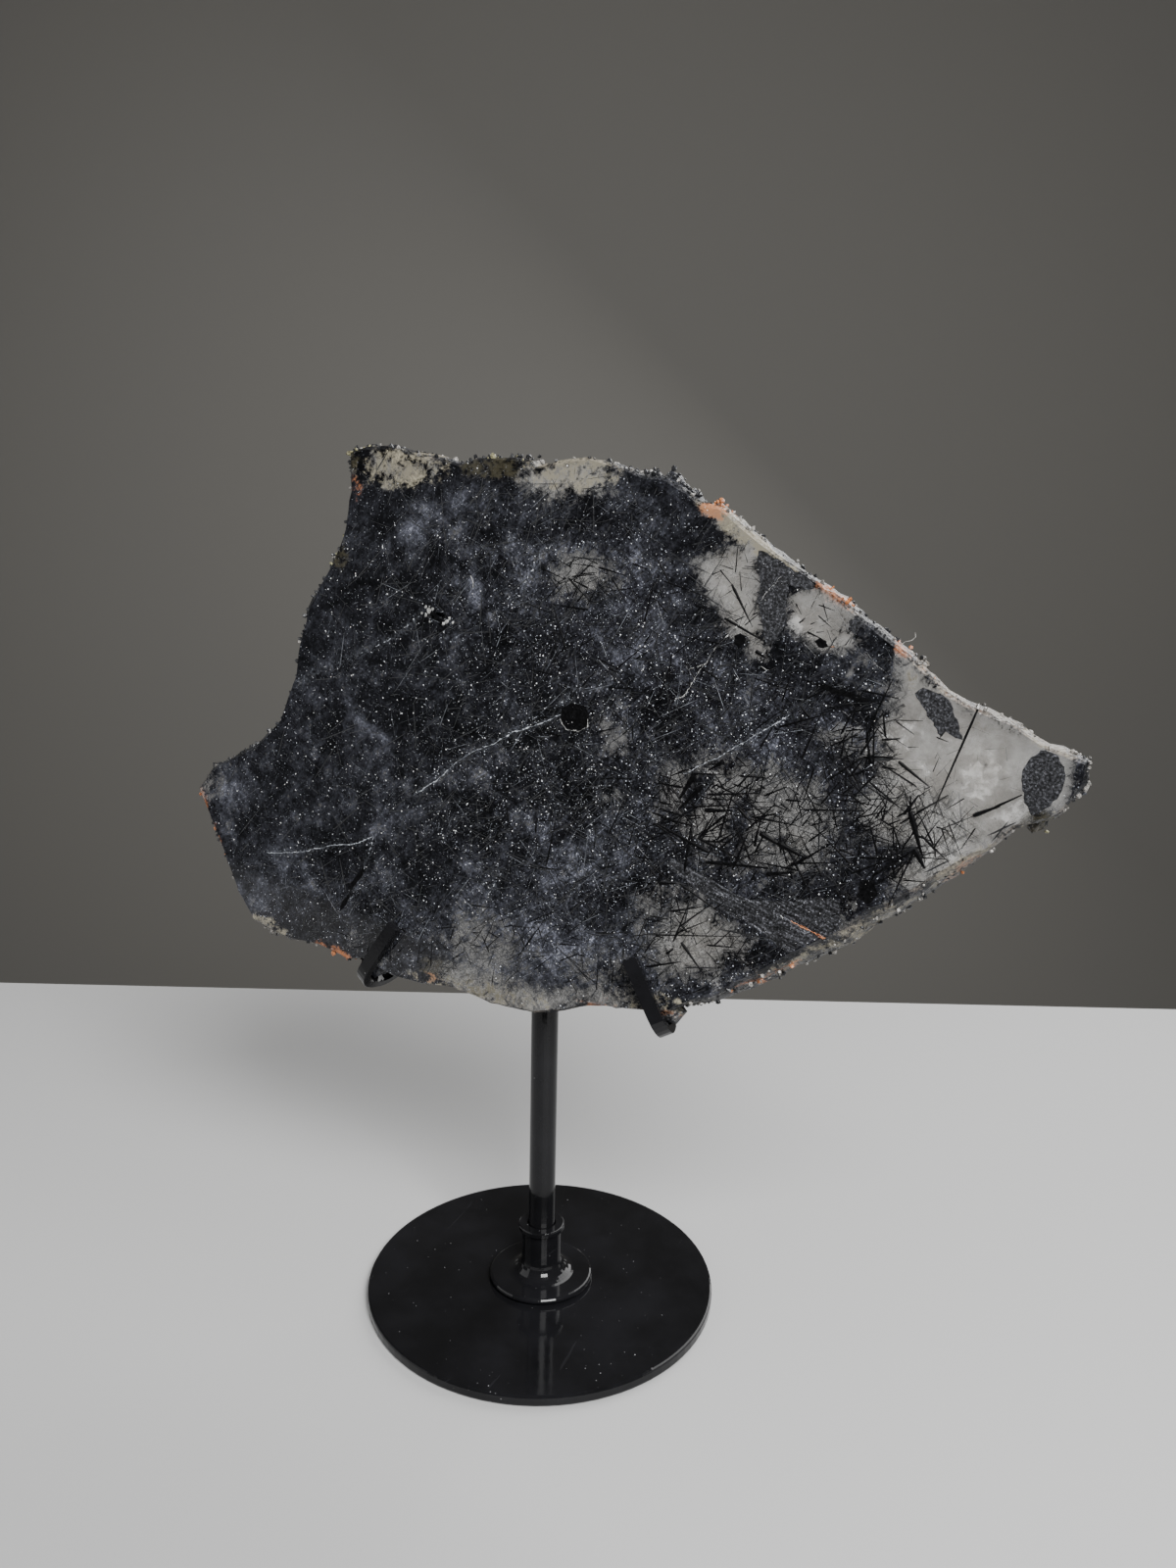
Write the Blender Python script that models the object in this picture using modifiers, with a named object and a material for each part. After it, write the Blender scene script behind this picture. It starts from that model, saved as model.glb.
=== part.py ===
"""Slice of tourmalinated quartz resting in the two hooks of a round metal stand.

Metres, +Z up. The origin is the centre of the plate's underside, and the slice's
sawn front faces -Y.
"""
import math
import random

import bmesh
import bpy
from mathutils import Matrix, Vector

MM = 0.001
GAP = 0.3 * MM
WELD = 0.01 * MM
BEVEL_ANGLE = 40
SMOOTH_ANGLE = 35

# Stand
PLATE_RADIUS = 50 * MM
PLATE_HEIGHT = 3 * MM
PLATE_ROUNDING = 0.6 * MM
PLATE_SIDES = 96
POLE_RADIUS = 3.8 * MM
POLE_TOP = 178 * MM
POLE_ROUNDING = 0.8 * MM
POLE_SIDES = 32
ROUNDING_STEPS = 2
SOCKET_HEIGHT = 17 * MM
SOCKET_RADIUS = 5.6 * MM
SOCKET_LIP_RADIUS = 6.6 * MM
SOCKET_LIP_HEIGHT = 1.4 * MM
SOCKET_LIP_ROUNDING = 0.4 * MM
SOCKET_LIP_SLOPE = 0.8 * MM
FLANGE_RADIUS = 15 * MM
FLANGE_EDGE = 1.8 * MM
FLARE_RADIUS = 4.5 * MM
TURNED_STEPS = 44
TURNED_WELD = 0.05 * MM

# Hooks, bent from flat bar: side of the pole, seat (x, z) in millimetres, angles in degrees, front leg
BAR_WIDTH = 3.6 * MM
BAR_THICKNESS = 2.2 * MM
BAR_EDGE = 0.25 * MM
HOOK_SLOT = 11.4 * MM
HOOK_BEND_RADIUS = 4.5 * MM
HOOK_ARC_STEPS = 7
HOOKS = {
    "left_arm": {"side": -1, "seat": (-47.3, 91.3), "lean": 34, "roll": 16, "leg": 21.0},
    "right_arm": {"side": 1, "seat": (39.3, 92.2), "lean": 27, "roll": 12, "leg": 20.5},
}

# Slice: its sawn faces, and its outline seen from the front in millimetres
SLICE_THICKNESS = 9 * MM
SLICE_FRONT = -16.5 * MM
RIM_STEP = 2.3
SLICE_OUTLINE = [
    (-50.5, 235), (-46, 236), (-39, 236), (-28.5, 233.5), (-18, 231.5), (-14.5, 233), (-8.5, 233),
    (1, 232), (2, 230.5), (6, 231), (10, 232), (16.5, 232.5), (26.5, 229.5), (30, 228), (36, 227.5),
    (41, 224.5), (44.5, 222), (49, 221), (56.5, 215), (64.5, 209.5), (78, 201), (83, 196.5),
    (93, 189.5), (101.5, 181.5), (106, 179), (115, 176), (123.5, 171), (131, 168.5), (131, 164),
    (127.5, 158.5), (125, 156), (118, 153.5), (112.5, 147.5), (104, 139.5), (94, 131), (89.5, 128.5),
    (83, 122), (74.5, 117), (65, 110), (51, 101.5), (41, 97.5), (30.5, 96.5), (19.5, 96), (12.5, 93),
    (4, 91), (-9, 91.5), (-21, 94), (-30, 93.5), (-39.5, 94.5), (-49, 98), (-54, 97), (-63.5, 100),
    (-74, 100), (-86.5, 104), (-91.5, 112), (-98, 127.5), (-104.5, 141.5), (-99.5, 147.5),
    (-83, 156), (-75, 163.5), (-69.5, 176), (-68, 184.5), (-64.5, 195), (-54.5, 210.5),
    (-52.5, 215.5), (-50.5, 225.5),
]
# Each ring of the rim: depth behind the front face, offset outwards, roughness, all in millimetres
RIM_RINGS = [
    (0.0, -0.35, 0.25),
    (0.9, 0.25, 0.45),
    (3.0, 0.6, 0.8),
    (5.8, 0.5, 0.9),
    (8.0, 0.1, 0.5),
    (9.0, -0.7, 0.35),
]
RIM_SEED = 11
# How many points a broken ledge runs on for, and the ledges' share of the roughness
LEDGE_RUN = (1, 5)
LEDGE_SHARE = 0.6
RING_WANDER = 0.5
# The lower right rim slopes: its front edge stands back and its rear edge runs on
SLOPE_START = (112, 148)
SLOPE_END = (44, 99)
SLOPE_INSET = 2.4
SLOPE_OUTSET = 3.2
SLOPE_FADE = 0.4
# Broken pieces of crystal on the rim: x, z and depth in millimetres, size, and how far stretched
RIM_CRYSTALS = [
    (-49.6, 234.2, 3.2, 2.3, 1.0), (-46.0, 235.0, 5.0, 2.4, 1.3), (-12.0, 231.6, 4.4, 3.0, 1.4),
    (-6.0, 231.5, 5.6, 2.8, 1.5), (-1.5, 231.6, 3.0, 1.9, 1.3), (31.0, 227.6, 5.2, 3.0, 1.3),
    (36.5, 227.0, 4.2, 2.6, 1.2), (40.5, 223.8, 5.8, 2.4, 1.5), (47.5, 220.6, 4.6, 2.0, 1.3),
    (124.5, 168.5, 5.0, 2.6, 1.2), (128.6, 166.5, 3.4, 2.8, 1.2), (129.6, 162.6, 5.6, 2.5, 1.1),
    (122.0, 154.6, 7.0, 3.1, 1.3), (125.3, 157.4, 4.4, 2.4, 1.2), (-82.0, 102.0, 4.6, 2.7, 1.4),
    (-76.0, 100.4, 5.4, 2.2, 1.6), (-68.0, 99.6, 6.0, 2.2, 1.5), (-66.5, 188.0, 4.6, 2.6, 1.5),
    (-100.0, 147.0, 4.8, 2.4, 1.4), (-56.5, 208.0, 5.0, 2.6, 1.4), (95.5, 187.0, 5.2, 2.0, 1.5),
]
CRYSTAL_SEED = 5
CRYSTAL_DEPTH = 0.8
CRYSTAL_RAGGED = 0.22
# The worn pit in the front face: width, depth and height in millimetres
PIT_CENTRE = (-24.8, 193.9)
PIT_SIZE = (2.9, 1.7, 1.5)
# Lumps of the rim that stand down into the hooks, in millimetres
SEAT_LUMP_SIZE = (5.6, 3.6, 4.2)
SEAT_LUMP_RAGGED = 0.1

LACQUER = {"colour": (0.012, 0.012, 0.013, 1), "roughness": 0.12, "metallic": 0.0}
QUARTZ = {"colour": (0.10, 0.10, 0.105, 1), "roughness": 0.22, "metallic": 0.0}


def clear_scene():
    for old in list(bpy.data.objects):
        bpy.data.objects.remove(old, do_unlink=True)


def collection(name, hidden=False):
    made = bpy.data.collections.new(name)
    bpy.context.scene.collection.children.link(made)
    made.hide_render = hidden
    return made


def material(name, look):
    made = bpy.data.materials.new(name)
    made.use_nodes = True
    shader = made.node_tree.nodes["Principled BSDF"]
    shader.inputs["Base Color"].default_value = look["colour"]
    shader.inputs["Roughness"].default_value = look["roughness"]
    shader.inputs["Metallic"].default_value = look["metallic"]
    return made


def add_object(name, data, group, look=None):
    made = bpy.data.objects.new(name, data)
    group.objects.link(made)
    if look:
        data.materials.append(look)
    return made


def mesh_of(name, shape):
    mesh = bpy.data.meshes.new(name)
    bmesh.ops.recalc_face_normals(shape, faces=shape.faces)
    shape.to_mesh(mesh)
    shape.free()
    return mesh


def smooth_round(mesh):
    mesh.shade_smooth()
    mesh.set_sharp_from_angle(angle=math.radians(SMOOTH_ANGLE))


def bevel(made, width, segments):
    edge = made.modifiers.new("edge", "BEVEL")
    edge.width = width
    edge.segments = segments
    edge.limit_method = "ANGLE"
    edge.angle_limit = math.radians(BEVEL_ANGLE)


def cylinder(name, radius, bottom, top, sides, group, look):
    shape = bmesh.new()
    bmesh.ops.create_cone(shape, cap_ends=True, segments=sides, radius1=radius, radius2=radius,
                          depth=top - bottom)
    bmesh.ops.translate(shape, verts=shape.verts, vec=(0, 0, (top + bottom) / 2))
    mesh = mesh_of(name, shape)
    smooth_round(mesh)
    return add_object(name, mesh, group, look)


def arc(centre_x, centre_z, radius, start, end, steps):
    """Points along an arc, its angles in degrees."""
    points = []
    for k in range(steps + 1):
        angle = math.radians(start + (end - start) * k / steps)
        points.append((centre_x + radius * math.cos(angle), centre_z + radius * math.sin(angle)))
    return points


def base_plate(group, look):
    plate = cylinder("base_plate", PLATE_RADIUS, 0, PLATE_HEIGHT, PLATE_SIDES, group, look)
    bevel(plate, PLATE_ROUNDING, ROUNDING_STEPS)


def pole(group, look):
    rod = cylinder("pole", POLE_RADIUS, PLATE_HEIGHT + GAP, POLE_TOP, POLE_SIDES, group, look)
    bevel(rod, POLE_ROUNDING, ROUNDING_STEPS)


def socket(group, look):
    """The turned sleeve that holds the pole, flaring into its flange."""
    bottom = PLATE_HEIGHT + GAP
    top = PLATE_HEIGHT + SOCKET_HEIGHT
    bore = POLE_RADIUS + GAP
    round_edge = FLANGE_EDGE / 2
    lip_inner = SOCKET_LIP_RADIUS - SOCKET_LIP_ROUNDING
    lip_under = top - SOCKET_LIP_HEIGHT
    profile = [(bore, top), (lip_inner, top)]
    profile += arc(lip_inner, top - SOCKET_LIP_ROUNDING, SOCKET_LIP_ROUNDING, 60, 0, 2)
    profile += [(SOCKET_LIP_RADIUS, lip_under), (SOCKET_RADIUS, lip_under - SOCKET_LIP_SLOPE)]
    flare_z = bottom + FLANGE_EDGE + FLARE_RADIUS
    profile += arc(SOCKET_RADIUS + FLARE_RADIUS, flare_z, FLARE_RADIUS, 180, 264, 8)
    profile += arc(FLANGE_RADIUS - round_edge, bottom + round_edge, round_edge, 80, -60, 5)
    profile += [(FLANGE_RADIUS - round_edge, bottom), (bore, bottom)]
    mesh = bpy.data.meshes.new("socket")
    edges = [(k, (k + 1) % len(profile)) for k in range(len(profile))]
    mesh.from_pydata([(r, 0, z) for r, z in profile], edges, [])
    turned = add_object("socket", mesh, group, look)
    screw = turned.modifiers.new("turn", "SCREW")
    screw.steps = TURNED_STEPS
    screw.render_steps = TURNED_STEPS
    screw.use_merge_vertices = True
    screw.merge_threshold = TURNED_WELD
    screw.use_smooth_shade = True


def hook_outline(leg, arm, spare):
    """The bar's side view: x to the front from the arm's face, y up along the arm."""
    inner = HOOK_BEND_RADIUS - spare
    outer = HOOK_BEND_RADIUS + BAR_THICKNESS + spare
    low = HOOK_BEND_RADIUS
    far = HOOK_SLOT - HOOK_BEND_RADIUS
    points = [(spare, arm)]
    points += arc(low, low, inner, 180, 270, HOOK_ARC_STEPS)
    points += arc(far, low, inner, 270, 360, HOOK_ARC_STEPS)
    points += [(HOOK_SLOT - spare, leg), (HOOK_SLOT + BAR_THICKNESS + spare, leg)]
    points += arc(far, low, outer, 0, -90, HOOK_ARC_STEPS)
    points += arc(low, low, outer, -90, -180, HOOK_ARC_STEPS)
    points += [(-BAR_THICKNESS - spare, arm)]
    return points


def hook_place(plan):
    """The hook's own frame: its origin is inside the bend, on the arm's face."""
    lean = math.radians(plan["lean"])
    roll = math.radians(plan["roll"])
    along = Vector((-plan["side"] * math.sin(lean), 0, math.cos(lean)))
    outward = Vector((plan["side"] * math.cos(lean), 0, math.sin(lean)))
    forward = Vector((0, -1, 0)) * math.cos(roll) + outward * math.sin(roll)
    across = forward.cross(along)
    seat = Vector((plan["seat"][0] * MM, 0, plan["seat"][1] * MM))
    origin = seat - forward * HOOK_SLOT / 2
    rear_corner = BAR_THICKNESS * math.cos(roll) + BAR_WIDTH / 2 * math.sin(roll)
    origin.y = -POLE_RADIUS - GAP - rear_corner
    turn = Matrix((forward, along, across)).transposed().to_4x4()
    return Matrix.Translation(origin) @ turn


def arm_length(plan, place):
    """How far the arm runs before its inner corner meets the middle of the pole."""
    lean = math.radians(plan["lean"])
    corner = GAP / 2 + BAR_WIDTH / 2 * math.cos(lean)
    return (abs(place.translation.x) - corner) / math.sin(lean)


def flat_bar(name, points, width, place, group, look=None):
    curve = bpy.data.curves.new(name, "CURVE")
    curve.dimensions = "2D"
    curve.fill_mode = "BOTH"
    curve.extrude = width / 2
    spline = curve.splines.new("POLY")
    spline.points.add(len(points) - 1)
    for point, (x, y) in zip(spline.points, points):
        point.co = (x, y, 0, 1)
    spline.use_cyclic_u = True
    bar = add_object(name, curve, group, look)
    bar.location = place.translation
    bar.rotation_euler = place.to_euler()
    return bar


def solid_from_curve(bar, group, look=None):
    """Replaces a filled curve by one closed mesh."""
    bpy.context.view_layer.update()
    place = bar.matrix_world.copy()
    mesh = bpy.data.meshes.new_from_object(bar.evaluated_get(bpy.context.evaluated_depsgraph_get()))
    name = bar.name
    bpy.data.objects.remove(bar, do_unlink=True)
    shape = bmesh.new()
    shape.from_mesh(mesh)
    bmesh.ops.remove_doubles(shape, verts=shape.verts, dist=WELD)
    solid = add_object(name, mesh_of(name, shape), group, look)
    solid.matrix_world = place
    return solid


def hooks(group, cutters, look):
    """The two arms, and the larger bars that clear their room in the slice."""
    rooms = []
    for name, plan in HOOKS.items():
        place = hook_place(plan)
        arm = arm_length(plan, place)
        leg = plan["leg"] * MM
        bar = flat_bar(name, hook_outline(leg, arm, 0), BAR_WIDTH, place, group, look)
        bevel(solid_from_curve(bar, group, look), BAR_EDGE, 1)
        room = flat_bar(name + "_room", hook_outline(leg, arm, GAP), BAR_WIDTH + 2 * GAP, place, cutters)
        rooms.append(solid_from_curve(room, cutters))
    return rooms


def rim_points():
    """The outline at even steps, each point with its outward direction and the rim's slope there."""
    corners = [Vector(point) for point in SLICE_OUTLINE]
    start = min(range(len(corners)), key=lambda k: (corners[k] - Vector(SLOPE_START)).length)
    end = min(range(len(corners)), key=lambda k: (corners[k] - Vector(SLOPE_END)).length)
    points = []
    for k, corner in enumerate(corners):
        following = corners[(k + 1) % len(corners)]
        steps = max(1, round((following - corner).length / RIM_STEP))
        for j in range(steps):
            way = (k + j / steps - start) / (end - start)
            slope = math.sin(math.pi * way) ** SLOPE_FADE if 0 < way < 1 else 0
            points.append((corner.lerp(following, j / steps), slope))
    count = len(points)
    rim = []
    for k, (point, slope) in enumerate(points):
        run = points[(k + 2) % count][0] - points[k - 2][0]
        rim.append((point, Vector((-run.y, run.x)).normalized(), slope))
    return rim


def ledges(count, rng):
    """A random height for each point, held over short runs as on a broken edge."""
    heights = []
    while len(heights) < count:
        height = rng.uniform(-1, 1)
        heights += [height] * rng.randint(*LEDGE_RUN)
    return heights[:count]


def slice_body():
    """The slice as rings of its rim, lofted between the two sawn faces."""
    rng = random.Random(RIM_SEED)
    rim = rim_points()
    count = len(rim)
    shape = bmesh.new()
    rings = []
    for depth, offset, rough in RIM_RINGS:
        broken = ledges(count, rng)
        through = depth * MM / SLICE_THICKNESS
        inner = 0 < through < 1
        ring = []
        for k, (point, outward, slope) in enumerate(rim):
            lean = slope * (SLOPE_OUTSET * through - SLOPE_INSET * (1 - through))
            grain = rough * (LEDGE_SHARE * broken[k] + (1 - LEDGE_SHARE) * rng.uniform(-1, 1))
            place = point + outward * (offset + lean + grain)
            back = depth + (rng.uniform(-RING_WANDER, RING_WANDER) * rough if inner else 0)
            ring.append(shape.verts.new((place.x * MM, SLICE_FRONT + back * MM, place.y * MM)))
        rings.append(ring)
    for front, rear in zip(rings, rings[1:]):
        for k in range(count):
            after = (k + 1) % count
            shape.faces.new((front[k], front[after], rear[after], rear[k]))
    shape.faces.new(rings[0])
    shape.faces.new(rings[-1])
    bmesh.ops.triangulate(shape, faces=shape.faces, quad_method="BEAUTY", ngon_method="BEAUTY")
    return mesh_of("slab", shape)


def chunk(name, centre, size, group, rng, ragged=CRYSTAL_RAGGED):
    """A small broken lump with flat faces."""
    shape = bmesh.new()
    bmesh.ops.create_icosphere(shape, subdivisions=1, radius=1)
    for vert in shape.verts:
        vert.co *= 1 + rng.uniform(-ragged, ragged)
    turn = Matrix.Rotation(rng.uniform(0, math.pi), 4, "Y")
    bmesh.ops.transform(shape, matrix=turn, verts=shape.verts)
    bmesh.ops.scale(shape, vec=size, verts=shape.verts)
    bmesh.ops.translate(shape, vec=centre, verts=shape.verts)
    return add_object(name, mesh_of(name, shape), group)


def combine(body, other, operation):
    step = body.modifiers.new(other.name, "BOOLEAN")
    step.object = other
    step.operation = operation
    step.solver = "EXACT"
    other.display_type = "WIRE"
    other.hide_render = True


def slab(group, cutters, rooms, look):
    rng = random.Random(CRYSTAL_SEED)
    body = add_object("slab", slice_body(), group, look)
    for k, (x, z, depth, size, stretch) in enumerate(RIM_CRYSTALS):
        centre = (x * MM, SLICE_FRONT + depth * MM, z * MM)
        extent = (size * MM, size * MM * CRYSTAL_DEPTH * stretch, size * MM)
        combine(body, chunk("rim_crystal_%d" % k, centre, extent, cutters, rng), "UNION")
    middle = SLICE_FRONT + SLICE_THICKNESS / 2
    for k, plan in enumerate(HOOKS.values()):
        x, z = plan["seat"]
        extent = [part * MM for part in SEAT_LUMP_SIZE]
        centre = (x * MM, middle, z * MM + extent[2])
        combine(body, chunk("seat_lump_%d" % k, centre, extent, cutters, rng, SEAT_LUMP_RAGGED), "UNION")
    centre = (PIT_CENTRE[0] * MM, SLICE_FRONT, PIT_CENTRE[1] * MM)
    extent = [part * MM for part in PIT_SIZE]
    combine(body, chunk("pit", centre, extent, cutters, rng), "DIFFERENCE")
    for room in rooms:
        combine(body, room, "DIFFERENCE")


def main():
    clear_scene()
    group = collection("tourmalinated_quartz_slab")
    cutters = collection("cutters", hidden=True)
    lacquer = material("black_lacquer", LACQUER)
    quartz = material("tourmalinated_quartz", QUARTZ)
    base_plate(group, lacquer)
    pole(group, lacquer)
    socket(group, lacquer)
    rooms = hooks(group, cutters, lacquer)
    slab(group, cutters, rooms, quartz)


main()
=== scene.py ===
"""Looks of the tourmalinated quartz slab and its black stand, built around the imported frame.

Places on the slab are given as (x, z) in millimetres, in the row frame.
"""
import math
import random

import bmesh
import bpy
import numpy as np
from mathutils import Matrix, Vector
from mathutils.bvhtree import BVHTree


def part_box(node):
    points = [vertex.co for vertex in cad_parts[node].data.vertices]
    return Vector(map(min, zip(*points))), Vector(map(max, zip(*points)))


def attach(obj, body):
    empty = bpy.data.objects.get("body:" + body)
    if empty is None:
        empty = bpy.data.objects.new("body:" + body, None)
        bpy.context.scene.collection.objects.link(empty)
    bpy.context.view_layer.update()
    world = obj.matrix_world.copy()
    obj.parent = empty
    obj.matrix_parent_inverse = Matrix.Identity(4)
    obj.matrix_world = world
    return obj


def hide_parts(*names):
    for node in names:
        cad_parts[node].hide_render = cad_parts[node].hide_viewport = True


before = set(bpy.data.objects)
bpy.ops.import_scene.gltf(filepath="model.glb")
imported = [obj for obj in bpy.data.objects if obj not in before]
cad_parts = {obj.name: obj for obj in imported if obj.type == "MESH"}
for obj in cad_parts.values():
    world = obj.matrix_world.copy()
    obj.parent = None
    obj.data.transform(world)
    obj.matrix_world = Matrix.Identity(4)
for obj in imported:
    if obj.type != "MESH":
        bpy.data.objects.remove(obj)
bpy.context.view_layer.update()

MM = 0.001
PIECES = bpy.context.scene.collection
SLAB_LOW, SLAB_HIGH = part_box("slab")

# Camera, as worked out from the base disc and the pole in the photograph
CAMERA_PLACE = (0.1210, -0.2719, 0.2052)
CAMERA_HEADING = 21.95
CAMERA_PITCH = -10.55
CAMERA_ROLL = 1.3
CAMERA_LENS = 25.74

# Stage, its places turned with the camera
TABLE_SIDE = 1.3
TABLE_FRONT = 0.2
TABLE_REAR = 0.23
WALL_SIDE = 3.0
WALL_REAR = 1.4
# Lights: place, aim, size, power
LIGHTS = {
    "key": ((0.55, -0.55, 0.75), (0, 0, 0.14), 0.45, 21),
    "fill": ((-0.9, -0.5, 0.6), (0, 0, 0.12), 0.9, 4),
    "rear": ((0.3, 0.9, 0.8), (0, 0, 0.15), 0.9, 12),
}

# The slab's sawn faces, and how finely its looks are laid out
FACE_FRONT = -16.5
FACE_BACK = -7.5
GRID = 1.1
# A face of the slab turned further than this from the sawn planes is of the rim
FACE_TURN = 0.97
# How far stains wander sideways from the front face to the back
STAIN_WANDER = 5.0
# Clear windows: strength, softness of the edge in millimetres, outline
CLEAR_REGIONS = {
    "right_window": (1.4, 7, [
        (86, 187), (93, 190), (100, 184), (107, 180), (116, 177), (124, 172), (133, 169), (133, 162),
        (127, 156), (118, 152), (111, 145), (106, 140), (101, 140), (96, 142.5), (91, 147), (87.5, 152),
        (88, 160), (88.5, 167), (87, 173), (85.5, 180)]),
    "upper_window": (1.3, 4, [
        (43.1, 208.8), (46.6, 210.4), (52.3, 212.6), (56.1, 213.4), (58.4, 212), (58.4, 209.4),
        (58.7, 207.2), (59.5, 201.8), (60.4, 195.5), (60.9, 192.6), (61.8, 190.7), (61.2, 187),
        (58.2, 187.2), (56.4, 190.5), (53.3, 192.2), (50.8, 194), (49.1, 198.5), (46.2, 201.4),
        (44.8, 205.1)]),
    "rust_window": (1.25, 2.6, [
        (65.8, 203), (70.5, 203), (72.6, 204.6), (78.3, 200.5), (81.3, 198.1), (79.7, 195.1),
        (83.1, 192.4), (79.7, 190), (74.2, 189.1), (70.8, 191.1), (68.4, 193.2), (66, 196.1), (65.6, 200.8)]),
    "net": (0.82, 7, [
        (37, 160), (52, 165), (64, 163), (76, 160), (80, 150), (78, 138), (66, 136), (52, 138), (42, 143),
        (36, 150)]),
    "net_left": (1.3, 2.4, [
        (47.7, 156.3), (50, 158.8), (52.7, 160.7), (54.1, 157.2), (54.3, 154.1), (51.9, 152.7),
        (47.8, 153.9)]),
    "net_right": (1.25, 3, [
        (66, 147.4), (70.1, 149.8), (74, 149.4), (75.6, 147.6), (75.4, 144.5), (72.9, 142.6),
        (69.7, 144.6), (66.5, 146.2)]),
    "net_middle": (1.2, 2.6, [
        (44.3, 149.1), (47.9, 151.5), (53.5, 152.4), (56.1, 148.3), (58.3, 144.9), (57.2, 142.4),
        (53.6, 141.2), (48.7, 142.7), (44.9, 145.1)]),
    "net_spot": (1.2, 1.8, [(58.3, 152.1), (60.2, 153.5), (63, 152.6), (62.4, 150.1), (60, 149.5)]),
    "net_edge": (1.3, 4, [
        (84, 156.5), (88.2, 159.6), (94.2, 154.9), (95.9, 152.1), (95.8, 148.3), (92, 145.6),
        (88.9, 148.3), (85, 152.1)]),
    "right_foot": (1.25, 2.8, [
        (92.3, 141), (96.5, 143.8), (102.8, 144.6), (103.5, 140.1), (97.7, 136.3), (93.3, 138.1)]),
    "foot_spot": (1.1, 2, [(82.9, 133.3), (86.2, 134.1), (87.2, 130.7), (84.3, 129.1)]),
    "lower_left": (0.9, 2, [(34.5, 129.4), (42.6, 129.2), (42.6, 128.2), (34.6, 126.9)]),
    "net_low": (1.2, 2, [
        (66.4, 139.9), (68.7, 141.4), (70.7, 140.8), (73.8, 138.8), (70.8, 138), (67.3, 138)]),
    "lower_window": (1.38, 7, [
        (42.7, 126.3), (48.5, 127.5), (52.3, 124.7), (54.9, 122.6), (58.3, 120.6), (61.6, 117.4),
        (61, 113.6), (56.1, 114.5), (52.2, 108.8), (39.6, 107.6), (36.7, 115.8), (41.2, 120.7)]),
    "foot": (0.86, 4.5, [
        (-31, 101), (-20, 103.5), (-10, 101), (8, 99), (20, 103), (34, 102), (40, 99), (30, 95), (18, 94),
        (4, 89), (-10, 89), (-22, 92)]),
    "low_glow": (0.66, 8, [(-30, 104), (-22, 116), (-10, 120), (0, 112), (6, 102), (-10, 98)]),
    "low_middle": (0.66, 7, [(10, 98), (14, 108), (30, 112), (36, 104), (30, 97)]),
    "pale_streak": (0.72, 4, [(72, 170), (80, 175), (92, 170), (96, 164), (88, 163), (78, 166)]),
    "low_right": (0.7, 5, [(30, 126), (36, 132), (44, 131), (40, 122), (32, 116)]),
    "grey_window": (1, 6.5, [(6, 207), (14, 211), (23, 209), (25, 203), (18, 199), (8, 200)]),
    "faint": (0.62, 4, [(20, 170), (27, 169), (29, 163), (22, 162)]),
    "top_left": (1, 6, [(-45, 236), (-26, 234), (-24, 229), (-36, 225), (-46, 228)]),
    "top": (1, 6, [(-3, 231), (4, 233), (20, 233), (24, 229), (18, 224), (6, 222), (0, 225)]),
    "upper_rim": (0.7, 2.6, [(41, 221), (50, 222), (60, 214), (67, 208.5), (63, 207), (52, 213)]),
    "lower_rim": (0.6, 2.4, [(78, 131), (90, 134), (96, 136), (93, 130), (84, 122), (80, 124)]),
    "left_foot": (0.7, 2.4, [(-88, 105), (-74, 103), (-70, 99), (-86, 101)]),
    "left_hook": (0.55, 4, [(-54, 107), (-42, 108), (-36, 101), (-44, 96), (-54, 98)]),
    "left_tip": (0.55, 3, [(-106, 142), (-101, 148), (-96, 146), (-99, 138), (-103, 135)]),
    "spot": (0.7, 4, [(22, 153), (28, 153), (28, 149), (20, 149)]),
}
# Places within the slab: x, z, half width, half height, turn in degrees, strength
DARK_AREAS = [
    (88.5, 182, 4.5, 7, 10, 0.8), (131, 164, 3.6, 9, 0, 0.8), (124, 156.5, 3, 3, 0, 0.6),
    (46.5, 154.5, 2.2, 5.5, -35, 0.8), (56.5, 147.5, 2.6, 8, -15, 0.7), (88, 134, 3, 5, 10, 0.8),
    (40, 222, 4, 5, -30, 1), (-13, 229, 7, 3, 0, 0.6), (95, 145, 5, 2.5, 15, 0.6),
    (-50, 231, 2.4, 5, 0, 0.7),
]
HAZE_AREAS = [
    (0, 108, 44, 16, 0, 0.95), (-31, 215, 4.5, 4, 0, 1.4), (-14, 201.5, 2.4, 5, 8, 1.7),
    (-80, 118, 20, 14, 10, 0.6), (20, 200, 22, 13, -20, 0.75), (8, 133, 34, 10, 20, 0.5),
    (-54, 166, 16, 5, -22, 0.5), (-46, 140, 18, 6, 10, 0.35), (62, 168, 18, 7, -25, 0.7),
    (-60, 190, 7, 12, 0, 0.2), (-20, 222, 30, 5, -5, 0.6), (34, 190, 12, 6, 15, 0.95),
    (82, 171, 11, 3, -22, 1.3), (0, 97, 34, 5, 0, 0.6), (-94, 142, 10, 5, 30, 0.5),
    (34, 222, 10, 7, 0, 0.6), (-20, 206, 9, 5, 30, 0.4), (22, 140, 14, 5, 35, 0.6), (6, 121, 8, 4, 0, 0.9),
    (-45.5, 163.5, 8.5, 1.7, -28, 1.5), (46, 184, 6, 5, 0, 0.6),
]
WOVEN_AREAS = [(45, 150, 62, 48, 10, 1), (10, 200, 40, 26, 0, 0.7), (-40, 105, 40, 16, 0, 0.6)]
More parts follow.
